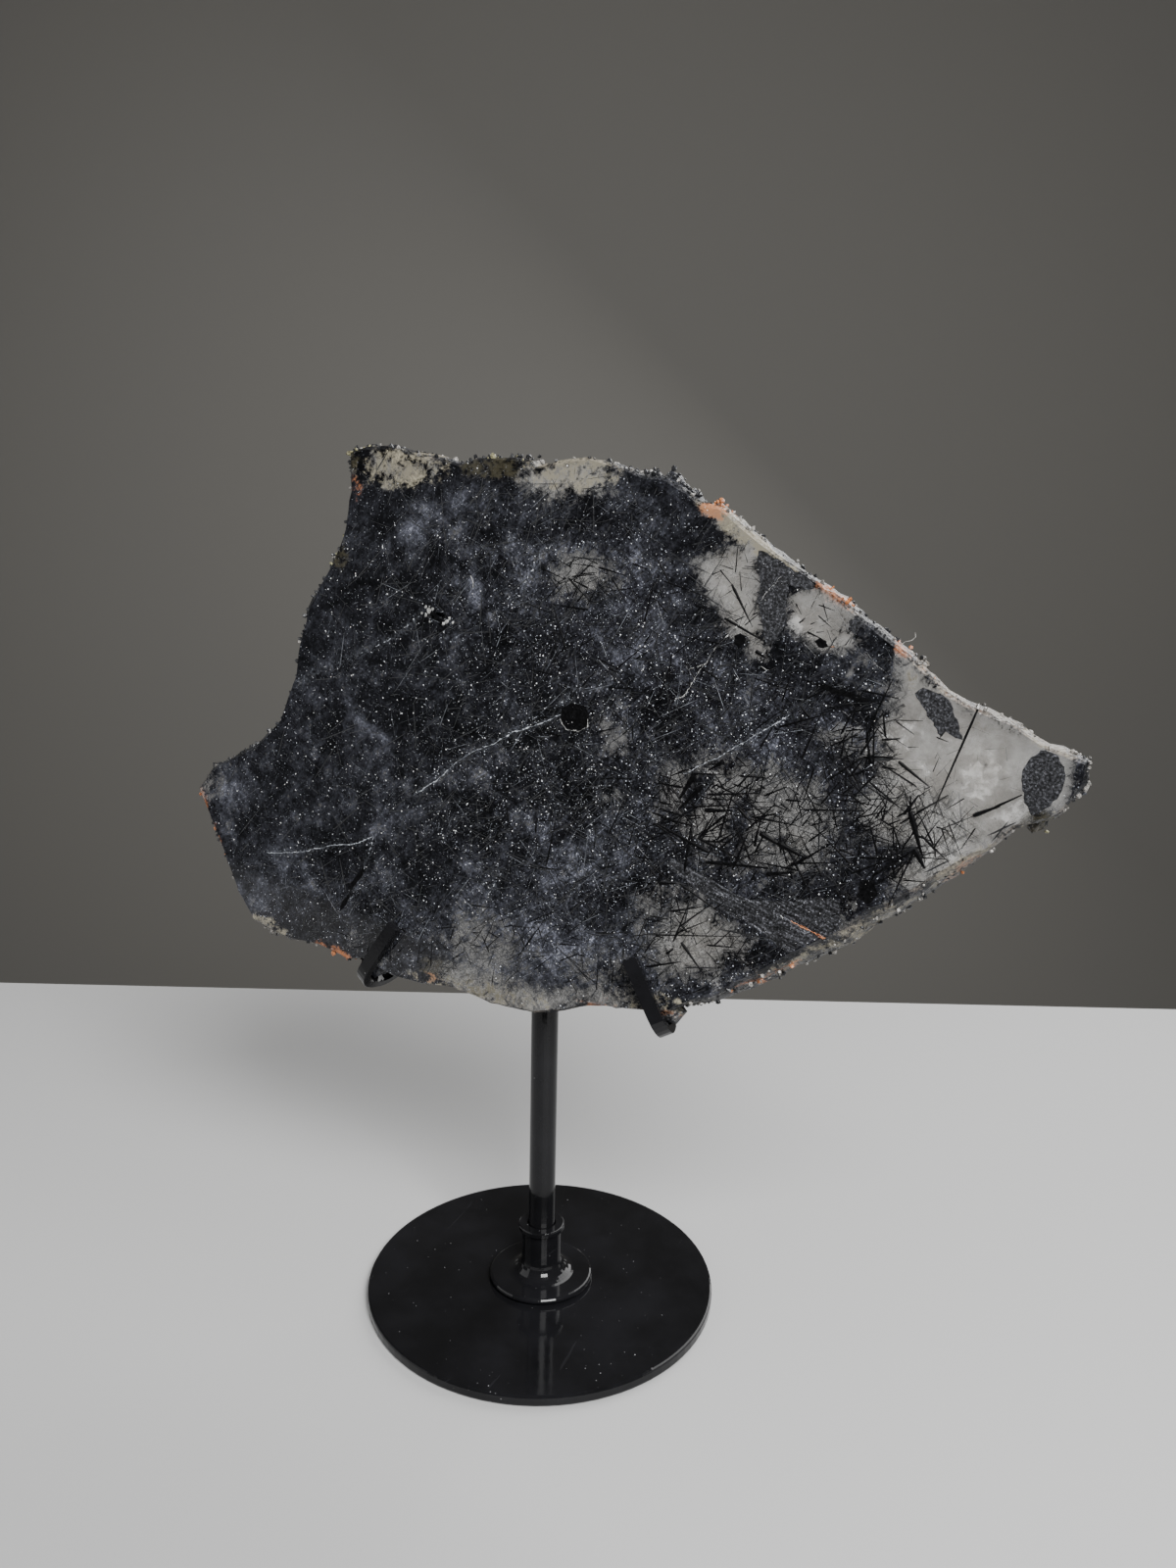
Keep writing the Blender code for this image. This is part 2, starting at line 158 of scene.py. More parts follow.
MILK_AREAS = [
    (111, 164, 4.5, 5.5, 0, 0.8), (94, 172, 4, 4, 0, 0.5), (68, 194.5, 2.4, 2.4, 0, 0.7),
    (104, 146, 6, 4, 20, 0.5), (118, 157, 5, 3, 20, 0.6), (66, 112, 5, 4, 0, 0.5),
    (86, 172, 6, 2.4, -22, 0.9), (52, 106, 9, 3, 30, 0.5), (99, 164, 3, 5, 20, 0.4),
    (48, 160, 5, 1.6, 0, 0.6),
]
CREAM_AREAS = [
    (-35, 231, 12, 5, 0, 0.75), (12, 230, 13, 5, 0, 0.85), (56, 215, 14, 3, -36, 0.9),
    (-82, 102, 8, 3.5, -15, 0.7), (118, 176, 12, 2.2, -33, 0.5), (-12, 94, 22, 4, 0, 0.6),
    (80, 120.5, 26, 2.4, 36, 0.65), (108, 143.5, 8, 2.2, 42, 0.7), (38, 99, 14, 3, 0, 0.5),
    (97, 184.5, 6, 4, -35, 0.5),
]
RUST_AREAS = [
    (47.5, 220.5, 3.4, 2, -35, 0.9), (75.6, 202, 5.4, 1.7, -36, 1), (92, 190, 2.4, 1.2, -45, 1),
    (97, 185.5, 3, 1, -40, 0.35), (64, 109.5, 8, 1.2, 30, 0.8), (21, 96.5, 6, 1.2, 0, 0.6),
    (38, 97.5, 5, 1, 0, 0.6), (-59, 98.5, 6, 2.2, -12, 0.9), (-103, 138, 1.8, 4, 10, 0.8),
    (-49.5, 226, 3, 3, 0, 0.45), (105, 180, 7, 1, -30, 0.2), (109, 143, 4, 1.2, 42, 0.6),
    (-98, 126, 1.2, 8, 14, 0.35), (-27, 95.5, 4, 1.6, 0, 0.5), (-55.5, 170.3, 2.2, 1, -20, 0.22),
]
OLIVE_AREAS = [
    (-9, 230.5, 9, 3, 0, 0.8), (122.5, 154.5, 3.5, 3.5, 0, 0.9), (-55, 210, 3, 5, 25, 0.8),
    (-50, 234, 4, 3, 0, 0.6), (-8, 96, 14, 3.5, 0, 0.6), (94, 183.5, 5, 3, 0, 0.5), (-26, 98, 5, 4, 0, 0.7),
]

# Schorl crystals cut through by the front face: how deep they run, and their outlines
SCHORL_PLATES = {
    "wedge": (2.5, [
        (58.6, 211.6), (60, 211.3), (61.5, 210.2), (63.8, 209.5), (65.2, 208.6), (66.1, 207.9), (68, 208),
        (69.3, 207.8), (70.7, 206.2), (71.6, 205.3), (71.6, 203.2), (70.5, 203.1), (68.6, 203.5),
        (66.4, 203.8), (65.6, 204.5), (65.8, 203), (65.6, 200.8), (65.5, 199), (65.8, 196.8),
        (65.4, 194.6), (64.3, 193.1), (63.3, 191.5), (62.6, 190.4), (61.4, 190.7), (60.9, 192.9),
        (60.4, 195.5), (59.7, 197.7), (58.8, 200.3), (59.3, 201.8), (59.4, 204.3), (58.7, 207.2),
        (58.4, 209.4)]),
    "spearhead": (3, [
        (95.2, 181.3), (96.5, 182.4), (98.6, 182), (100.7, 181.6), (102, 180.3), (103.2, 178.5),
        (104.4, 175.9), (105.8, 171.7), (104.5, 171.9), (102.3, 173.1), (101.4, 172.2), (100.2, 173.5),
        (99.4, 175), (98.2, 176.6), (96.7, 178.7)]),
    "blob": (4, [
        (118.7, 163.9), (118.8, 166.3), (120.2, 169.1), (122.1, 170.6), (124, 170.7), (125.5, 169.5),
        (126.7, 167.5), (127.2, 164.9), (126.9, 162.3), (125.9, 160.6), (124.6, 158.8), (122.8, 157),
        (121.4, 156.4), (119.7, 158.9), (119.2, 161)]),
    "blade": (1.2, [(70.3, 182.9), (76, 181.9), (82, 180.4), (87.2, 178.6), (82.4, 179.2), (76.2, 180.6)]),
    "fan": (3.5, [
        (40.6, 137.3), (48.2, 134.5), (56.1, 131), (60.2, 129.5), (65.8, 129.8), (71.2, 130.5),
        (76.9, 132.5), (81.8, 132.3), (82.2, 126.4), (81.3, 123.1), (78.7, 122.3), (77.2, 120.1),
        (73.5, 117.9), (70.4, 117.9), (67.9, 119.1), (63.8, 121.8), (59.7, 124.1), (55.6, 124.8),
        (51.4, 127.9), (47.1, 130.6), (42.9, 133.4), (39.4, 135.5)]),
    "rim_patch": (2, [
        (80, 196.6), (81.3, 197.3), (83.3, 196.9), (84.3, 195.7), (83.6, 194.9), (82.6, 195.2),
        (81.2, 193.7), (79.7, 194.8)]),
    "left_clump": (1.5, [
        (54, 192.3), (55.2, 192.7), (56.2, 192), (56.4, 190.5), (55.3, 189.3), (53.9, 190.4)]),
    "right_clump": (1.5, [
        (72.6, 191.9), (73.7, 192.5), (75, 192), (75.4, 190.6), (74.2, 190.2), (72.9, 190.8)]),
    "foot_patch": (2, [(86.4, 137.6), (89.4, 137.8), (90.2, 134.6), (88.2, 132), (85.8, 133.6)]),
}
# A plate's corner past the face's edge is drawn to the middle: share of the way a time, most times
PLATE_PULL = 0.06
PLATE_PULLS = 20
PLATE_LOOKS = {"fan": "striped", "blade": "dense", "foot_patch": "dense", "left_clump": "dense",
               "right_clump": "dense"}
HEXAGON_DEPTH = 5
HEXAGON = [(10.6, 172.6), (13.2, 174.0), (16.6, 173.6), (17.9, 171.4), (17.6, 168.4), (15.2, 167.0),
           (12.0, 167.2), (10.3, 169.6)]

# Single needles: x and z of one end, x and z of the other, radius
NEEDLES = [
    (92.7, 165.8, 99.9, 160.6, 0.45), (108.5, 178.6, 99.6, 151.3, 0.32), (109.4, 155.1, 114.8, 157.9, 0.6),
    (113.8, 157.5, 119, 160.7, 0.32), (96.1, 154.6, 99.5, 144.6, 0.8), (103, 151.7, 105.6, 145, 0.17),
    (104.4, 153, 108.2, 144.7, 0.18), (91.2, 175, 97.3, 175.3, 0.15), (91.5, 174.8, 95.7, 172.1, 0.2),
    (91.5, 170.9, 94.5, 169.2, 0.14), (94.5, 169.2, 96.9, 169.4, 0.12), (97.7, 158.7, 99.6, 154.7, 0.15),
    (107.3, 158.8, 103.2, 155.6, 0.17), (100.4, 171.9, 103, 171, 0.18), (101.8, 173.1, 100.9, 171.4, 0.15),
    (98.9, 149.6, 105.1, 144.1, 0.3), (88.5, 160.4, 93.4, 160, 0.12), (97.7, 158.4, 100.7, 160.9, 0.14),
    (97.7, 146.2, 92.9, 132.6, 0.3), (86.3, 168, 85, 161.5, 0.22), (87.6, 162.2, 96.3, 161.1, 0.11),
    (86.8, 160.6, 95.7, 153.9, 0.3), (91.5, 151.2, 94.2, 152.7, 0.3), (91.7, 150.1, 94, 151.3, 0.2),
    (87.6, 162.2, 82.6, 155.8, 0.34), (82.9, 155.9, 90.3, 155.1, 0.22), (89.9, 154.9, 94.8, 151.6, 0.14),
    (84.4, 150.9, 89.3, 148, 0.22), (87.8, 148.6, 95.6, 146.6, 0.2), (59.8, 158.1, 53.1, 152.4, 0.26),
    (47, 153.8, 54.3, 152.1, 0.2), (43.8, 150.5, 56.7, 152.5, 0.28), (48.4, 150.3, 55.2, 150.8, 0.7),
    (53.3, 149.4, 47, 143.3, 0.45), (54.5, 148.5, 47, 143.3, 0.3), (47.4, 143.8, 57.5, 144.3, 0.16),
    (47, 143.3, 56.9, 139.6, 0.42), (47.5, 156, 41.8, 149.7, 0.8), (45.6, 158.8, 42.1, 152.5, 0.9),
    (50.5, 157.3, 47.8, 154.3, 0.2), (52.7, 162.6, 48.8, 159.9, 0.6), (74, 162.5, 72.1, 155, 0.3),
    (66.8, 153.7, 69.3, 152, 0.25), (65.3, 153.2, 68.9, 152, 0.2), (73.3, 141.5, 68.5, 137.8, 0.25),
    (64.3, 136.4, 70.8, 137.6, 0.6), (62.2, 146.2, 67.4, 143.6, 0.8), (66.6, 144.3, 72.9, 141.5, 0.9),
    (91.3, 139.8, 97, 136.6, 0.22), (97.7, 146.2, 100.2, 142, 0.8), (95.8, 138.8, 100.4, 139, 0.22),
    (36.7, 117.3, 59.9, 120.2, 0.22), (41, 127.3, 41.1, 117.7, 0.2), (41.1, 124, 49, 126.3, 0.35),
    (43.9, 116.4, 49.2, 110, 0.45), (57.3, 115.9, 60.6, 113.1, 0.28), (35.2, 108.7, 44.1, 111.4, 0.4),
    (43, 118.8, 50, 122.7, 0.25), (40.2, 112.9, 41.9, 114.4, 0.5), (42.9, 131.3, 56.5, 123.6, 0.3),
    (37.5, 130.7, 42.1, 131.2, 0.45), (48.3, 142.6, 58.8, 143.4, 0.3), (43.9, 148.7, 47.8, 145.4, 0.2),
    (50.3, 153.3, 55.1, 153.4, 0.3), (56.8, 151.6, 60.1, 148.3, 0.5), (85.6, 142.9, 94.3, 143.6, 0.4),
    (84, 138.9, 92.9, 143.4, 0.35), (99.7, 148.7, 103.1, 145.4, 0.2), (49.7, 207.1, 52.9, 203.6, 0.18),
    (52.7, 203.8, 58, 194.3, 0.4), (51.3, 196.1, 61.8, 190.7, 0.38), (59, 188.9, 61.8, 187.2, 0.55),
    (61.7, 189.2, 61.6, 187.4, 0.2), (52.8, 202.5, 49.8, 200.6, 0.12), (57.9, 197.1, 59.7, 197.9, 0.2),
    (68.7, 195.6, 70.1, 196.8, 0.28), (73, 197.4, 76.5, 194.5, 0.18), (70.7, 193.7, 73.9, 192.3, 0.25),
    (71.3, 195.4, 72.7, 196.1, 0.16), (72.7, 193.7, 74.5, 193.9, 0.14), (72.9, 199.8, 76.6, 198.6, 0.16),
    (53.9, 195.6, 56.1, 196.7, 0.2),
]
# Scattered needles: x, z, half width, half height, count, shortest, longest, thickest
NEEDLE_FIELDS = [
    (58, 149, 23, 14, 430, 3, 15, 0.36), (95, 149, 15, 11, 230, 3, 13, 0.3),
    (51, 114, 19, 14, 160, 3, 13, 0.3), (84, 160, 8, 16, 190, 3, 12, 0.34),
    (53, 202, 8, 10, 34, 2, 8, 0.18), (75, 197, 9, 6, 34, 2, 6, 0.16), (104, 166, 15, 12, 40, 2, 7, 0.15),
    (14, 205, 10, 6, 80, 3, 10, 0.28), (0, 106, 45, 14, 460, 3, 12, 0.24),
    (-45, 104, 12, 8, 70, 3, 9, 0.26), (25, 190, 26, 18, 200, 4, 16, 0.3),
    (20, 150, 30, 24, 220, 4, 14, 0.3), (84, 128, 12, 8, 90, 3, 8, 0.3),
    (72, 176, 20, 8, 130, 4, 14, 0.34), (58, 148, 22, 13, 36, 8, 20, 0.6),
    (52, 114, 17, 11, 16, 6, 15, 0.5), (92, 150, 9, 10, 12, 5, 14, 0.5), (86, 166, 7, 14, 60, 4, 12, 0.36),
    (58, 149, 23, 14, 520, 3, 12, 0.16), (92, 152, 10, 12, 260, 2, 9, 0.13),
    (51, 114, 19, 14, 320, 3, 11, 0.15), (100, 150, 10, 8, 90, 2, 8, 0.12), (54, 201, 8, 12, 60, 2, 6, 0.1),
]

# Share of the scattered needles that lie in the front face, and how deep a needle lies, in radii
SURFACE_SHARE = 0.45
NEEDLE_DEPTH = 0.4
# The room that hidden needles leave under the front face, and under both faces together
NEEDLE_COVER = 0.5
NEEDLE_COVERS = 1.2
# A rod's rings: share of its length, share of its radius
ROD_SIDES = 6
ROD_RINGS = ((0, 0.75), (0.12, 1), (1, 0.55))
# Needles thicker than this darken the quartz between them: how much, and at most
FELT_THICKEST = 0.2
FELT_SHARE = 0.4
FELT_MOST = 0.5

# White healed cracks in the dark part: width and course
RIBBON_STEP = 0.4
RIBBON_THINNEST = 0.03
RIBBON_SWAY = 0.14
VEINS = [
    (0.4, [
        (10.3, 170.7), (3, 167.6), (-2.9, 165.6), (-8, 162.2), (-13.3, 160), (-19, 156.6), (-24, 152),
        (-31.2, 146.8)]),
    (0.36, [(-80.8, 124.9), (-70, 126.2), (-56.4, 130), (-50, 131), (-44.5, 134.1)]),
    (0.42, [(67.6, 174.5), (60.7, 169.9), (55.8, 166.4), (50.9, 163.3), (42.1, 158.3)]),
    (0.26, [(-69.1, 174.5), (-60, 178.4), (-49.3, 182.7), (-36.2, 189), (-29.1, 194.5)]),
    (0.22, [(8, 213), (3, 208), (-1, 201)]),
    (0.24, [(-6, 128), (-10, 121), (-12, 114)]),
    (0.2, [(10.3, 174), (14, 177.4), (19, 178), (25, 181)]),
    (0.26, [(-44.5, 134.1), (-48, 124), (-53, 113)]),
]
CRACKS = [
    (0.34, [(64, 205.7), (61.9, 203.1), (59.1, 199.4)]),
    (0.2, [(73.3, 202.1), (71.9, 200.6), (70.7, 199.2)]),
    (0.42, [
        (54.7, 194.6), (52.7, 192.6), (50.6, 190.2), (48, 187.1), (46.1, 184.3), (44.6, 181.5),
        (43.5, 179.5), (42, 177.3), (39.3, 176.6)]),
    (0.2, [(53.6, 200.7), (51.8, 197.8), (49.7, 194)]),
    (0.24, [(46.5, 185.1), (41.7, 183.5), (38.5, 182.4)]),
    (0.3, [(60.2, 185.4), (63.3, 184.4)]),
    (0.2, [(18, 170), (24, 173.4), (30, 174.6), (36, 173)]),
    (0.5, [(-15.2, 204.4), (-14.6, 202.6), (-14.4, 200.6)]),
]
HEXAGON_RIM = [
    (0.34, [(10.2, 169.8), (11.8, 167.1), (15.2, 166.8), (17.7, 168.2), (18, 171)]),
]
RUST_LINE = [
    (0.8, [(70.7, 125.8), (73.9, 124.3), (77.9, 122.8), (79.8, 122.2)]),
    (0.5, [(73.1, 125.2), (75.5, 123.9), (79.4, 122.1)]),
    (0.16, [(76.2, 190.4), (83.8, 192)]),
]
WHITE_TICK = [(0.6, [(68.3, 126.7), (69.6, 125.7)])]

# Small broken crystals: how many on the rim, their sizes, and those round the pit
RIM_CHIPS = 1200
RIM_MARGIN = 0.3
RIM_CHIP_SIZES = (0.25, 0.85)
SERRATED_SIDE = -50
TIP_SIDE = 127
CLEAR_RIM_SMOOTH = 0.85
PIT_CENTRE = (-24.8, 193.9)
# Black plates over the pits' openings, painted shade in the pits: how deep they run, and their outlines
PIT_SHADE_DEPTH = 0.6
PIT_SHADE_PLATES = [[(-27.6, 195.4), (-25.6, 195.2), (-23.4, 193.4), (-21.8, 191.8), (-22.6, 191.4), (-25.0, 192.6),
         (-26.6, 193.8)],
        [(-48.2, 125.0), (-47.2, 124.2), (-49.8, 120.6), (-52.6, 117.4), (-53.2, 118.2), (-50.8, 121.6)],
        [(-53.4, 116.2), (-52.8, 115.4), (-55.0, 111.8), (-56.4, 110.6), (-56.0, 112.8)]]
PIT_CHIPS = [(-2.6, 1.4, 0.9), (-3.4, 0.2, 0.7), (-1.4, 1.9, 0.6), (2.8, -1.2, 0.8), (3.6, -0.4, 0.5),
             (1.9, -1.9, 0.6), (-4.6, 0.7, 0.4), (-2.2, -1.4, 0.45), (4.6, -1.4, 0.4), (-3.4, 2.3, 0.5)]
# Tiny near-white faces on the sawn faces, painted glints: count a side, where they crowd, sizes
GLINTS_A_SIDE = 5600
GLINT_CROWD = [(18, 160, 62, 44, 15, 1)]
GLINT_SIZES = (0.04, 0.22)
# How far the small forms stand out of the faces
PLATE_PROUD = 0.05
GLINT_PROUD = 0.11
CREST_PROUD = 0.14
# How deep the small forms on the sawn faces are set into them
SUNK = 0.005
# Fine needles in the sawn faces: seed, count a side, widest, longest, how proud, clearest place
DARK_HAIRS = (51, 2600, 0.55, 15, 0.02, 1.1)
PALE_HAIRS = (52, 650, 0.16, 12, 0.03, 0.5)
# A fine needle's six corners and the two ends of its crest, in half lengths and half widths
HAIR_CORNERS = ((-1, 0.2), (-0.5, -1), (1, -0.5), (1, 0.3), (0.4, 1), (-0.8, 0.8), (-0.6, 0), (0.7, 0))
LINT_RADIUS = 0.04
LINT = [(91.0, 191.4), (92.2, 192.4), (93.4, 192.6), (94.2, 193.4), (94.0, 194.4)]

QUARTZ_IOR = 1.544
QUARTZ_ABSORPTION = ((0.90, 0.89, 0.86, 1), 40)
# Plain black tourmaline: noise scale, its steps, roughness, IOR, specular level, darkest, lightest
SCHORLS = {
    "black_schorl": (2.4, (0.35, 0.75), (0.25, 0.5), 1.63, 0.5,
                     (0.004, 0.0042, 0.005, 1), (0.016, 0.017, 0.020, 1)),
    "dense_schorl": (1.4, (0.4, 0.8), (0.45, 0.7), 1.5, 0.08,
                     (0.0012, 0.0012, 0.0014, 1), (0.006, 0.006, 0.007, 1)),
}
# Tourmaline cut by the saw: strength of its stripes, middle tone
CUT_SCHORLS = {"speckled": (0, 0.019), "striped": (3, 0.018)}
# Small minerals: darkest, lightest, transmission, noise scale, lowest roughness
MINERALS = {
    "white_crystal": ((0.16, 0.16, 0.155, 1), (0.74, 0.74, 0.72, 1), 0.25, 0.7, 0.12),
    "grey_crystal": ((0.06, 0.058, 0.055, 1), (0.42, 0.40, 0.37, 1), 0.2, 0.7, 0.12),
    "healed_crack": ((0.16, 0.17, 0.19, 1), (0.76, 0.80, 0.87, 1), 0, 0.8, 0.25),
    "pale_hair": ((0.03, 0.032, 0.036, 1), (0.22, 0.235, 0.265, 1), 0, 0.4, 0.25),
    "rust_stain": ((0.20, 0.055, 0.018, 1), (0.50, 0.20, 0.075, 1), 0, 1.3, 0.25),
    "olive_stain": ((0.07, 0.062, 0.03, 1), (0.34, 0.32, 0.18, 1), 0.1, 1.3, 0.25),
    # Near-white colour of the tiny faces on the sawn faces: painted glints
    "painted_glint": ((0.80, 0.83, 0.90, 1), (0.96, 0.96, 0.95, 1), 0, 0.25, 0.12),
    "fibre": ((0.50, 0.48, 0.45, 1), (0.66, 0.64, 0.60, 1), 0, 1.3, 0.25),
}
# Slivers along lines: the lines, seed, least share of their width, mineral
RIBBONS = {
    "veins": (VEINS, 3, 0.2, "healed_crack"),
    "cracks": (CRACKS, 8, 0.22, "white_crystal"),
    "hexagon_edge": (HEXAGON_RIM, 3, 0.5, "white_crystal"),
    "rust_line": (RUST_LINE, 4, 0.35, "rust_stain"),
    "white_tick": (WHITE_TICK, 4, 0.6, "white_crystal"),
}
# What each kind of crystal on the rim is made of
CHIP_MINERALS = {"dark": "black_schorl", "pale": "grey_crystal", "rust": "rust_stain", "olive": "olive_stain"}
METAL_NODES = ("base_plate", "socket", "pole", "left_arm", "right_arm")


def link(name, mesh, material):
    """A new object in the scene from a mesh."""
    made = bpy.data.objects.new(name, mesh)
    PIECES.objects.link(made)
    mesh.materials.append(material)
    return made


def grey(value):
    return (value, value, value, 1)


class Graph:
    """Short calls for building a material's nodes; places in it are in millimetres."""

    def __init__(self, name):
        self.material = bpy.data.materials.new(name)
        self.material.use_nodes = True
        self.tree = self.material.node_tree
        self.tree.nodes.clear()
        self.output = self.node("ShaderNodeOutputMaterial")
        self.shader = self.node("ShaderNodeBsdfPrincipled")
        self.join(self.shader.outputs[0], self.output.inputs["Surface"])
        place = self.node("ShaderNodeTexCoord").outputs["Object"]
        self.place = self.node("ShaderNodeMapping", {"Vector": place, "Scale": (1 / MM,) * 3}).outputs[0]

    def node(self, kind, inputs=None, **settings):
        """A new node with its settings, and its inputs joined or set."""
        made = self.tree.nodes.new(kind)
        for key, value in settings.items():
            setattr(made, key, value)
        for key, value in (inputs or {}).items():
            self.put(value, made.inputs[key])
        return made

    def join(self, source, target):
        self.tree.links.new(source, target)

    def put(self, value, socket):
        if isinstance(value, bpy.types.NodeSocket):
            self.join(value, socket)
        else:
            socket.default_value = value

    def drawn_out(self, turn, length=7.0, depth=2.0):
        """The place, with everything stretched along one direction in the slab's plane."""
        turned = (0, math.radians(-turn), 0)
        inputs = {"Vector": self.place, "Rotation": turned, "Scale": (length, depth, 1)}
        return self.node("ShaderNodeMapping", inputs, vector_type="TEXTURE").outputs[0]

    def math(self, operation, first, *others, clamp=False):
        """The first value, with the others worked into it one by one."""
        for other in others:
            made = self.node("ShaderNodeMath", {0: first, 1: other}, operation=operation, use_clamp=clamp)
            first = made.outputs[0]
        return first

    def add(self, *values):
        return self.math("ADD", *values)

    def times(self, *values):
        return self.math("MULTIPLY", *values)

    def without(self, first, second):
        """The first, less the second's share of it."""
        return self.times(first, self.math("SUBTRACT", 1.0, second, clamp=True))

    def swing(self, value, centre, amount):
        """The value about its centre, times the amount."""
        return self.times(self.math("SUBTRACT", value, centre), amount)

    def noise(self, scale, detail=4, rough=0.55, vector=None, warp=0.0):
        inputs = {"Vector": vector or self.place, "Scale": scale, "Detail": detail, "Roughness": rough,
                  "Distortion": warp}
        return self.node("ShaderNodeTexNoise", inputs).outputs["Fac"]

    def streaks(self, kinds, detail, rough, length, depth):
        """The strongest of several noises, each (scale, turn), drawn out in its direction."""
        return self.math("MAXIMUM", *(self.noise(scale, detail, rough, self.drawn_out(turn, length, depth))
                                      for scale, turn in kinds))

    def strands(self, turns, scale, length, low, high):
        """Thin straight streaks that cross in several directions."""
        return self.step(self.streaks([(scale, turn) for turn in turns], 1, 0.5, length, 1.5), low, high)

    def cells(self, scale):
        return self.node("ShaderNodeTexVoronoi", {"Vector": self.place, "Scale": scale})

    def dots(self, scale, share, largest):
        """Bright dots of many sizes, one in some of the cells."""
        made = self.cells(scale)
        parts = self.node("ShaderNodeSeparateColor", {0: made.outputs["Color"]})
        size = self.times(self.step(parts.outputs[0], 1 - share, 1.0), largest)
        inside = self.math("SUBTRACT", size, made.outputs["Distance"])
        bright = self.times(parts.outputs[1], parts.outputs[1])
        return self.times(self.step(inside, 0.0, 0.06), bright)

    def step(self, value, low, high, start=0.0, end=1.0):
        """A smooth step of the value from low to high."""
        inputs = {"Value": value, "From Min": low, "From Max": high, "To Min": start, "To Max": end}
        return self.node("ShaderNodeMapRange", inputs, interpolation_type="SMOOTHSTEP").outputs["Result"]

    def mix(self, factor, first, second):
        return self.node("ShaderNodeMix", {0: factor, 6: first, 7: second}, data_type="RGBA").outputs[2]

    def tinted(self, value, tint):
        """A grey value as a colour with a slight tint."""
        inputs = {0: 1, 6: value, 7: tint}
        return self.node("ShaderNodeMix", inputs, data_type="RGBA", blend_type="MULTIPLY").outputs[2]

    def blend(self, factor, first, second):
        return self.node("ShaderNodeMix", {0: factor, 2: first, 3: second}, data_type="FLOAT").outputs[0]

    def field(self, name):
        return self.node("ShaderNodeAttribute", attribute_name=name).outputs["Fac"]

    def bump(self, height, strength, distance):
        made = self.node("ShaderNodeBump", {"Height": height, "Strength": strength, "Distance": distance})
        self.join(made.outputs["Normal"], self.shader.inputs["Normal"])

    def set(self, **values):
        for key, value in values.items():
            self.put(value, self.shader.inputs[key.replace("_", " ")])


def lacquer_material():
    """Gloss black lacquer with a faint unevenness, a few hairline scratches and dust."""
    g = Graph("gloss_black_lacquer")
    patchy = g.step(g.noise(0.09, 3), 0.38, 0.56)
    dust = g.times(g.dots(0.7, 0.5, 0.16), patchy)
    scratch = g.step(g.noise(1.0, 2, 0.5, g.drawn_out(32, 20, 20)), 0.705, 0.73)
    smudge = g.noise(0.05, 4, 0.6)
    base = g.mix(g.step(smudge, 0.3, 0.75), (0.005, 0.005, 0.0055, 1), (0.009, 0.009, 0.0105, 1))
    base = g.mix(g.times(scratch, 0.07), base, (0.08, 0.08, 0.09, 1))
    base = g.mix(g.times(dust, 0.8), base, (0.34, 0.34, 0.35, 1))
    rough = g.step(smudge, 0.25, 0.8, 0.05, 0.12)
    rough = g.add(rough, g.times(dust, 0.4))
    g.set(Base_Color=base, Roughness=rough, IOR=1.5, Specular_IOR_Level=0.25)
    peel = g.noise(0.9, 2, 0.5)
    g.bump(g.add(peel, g.times(dust, 0.6)), 0.05, 0.0002)
    return g.material


def stain(g, name, mottle):
    """A stained area of the slab, patchy, and only where its field says."""
    field = g.field(name)
    return g.times(g.step(field, 0.0, 0.4), g.step(g.add(field, mottle), 0.3, 1.1))


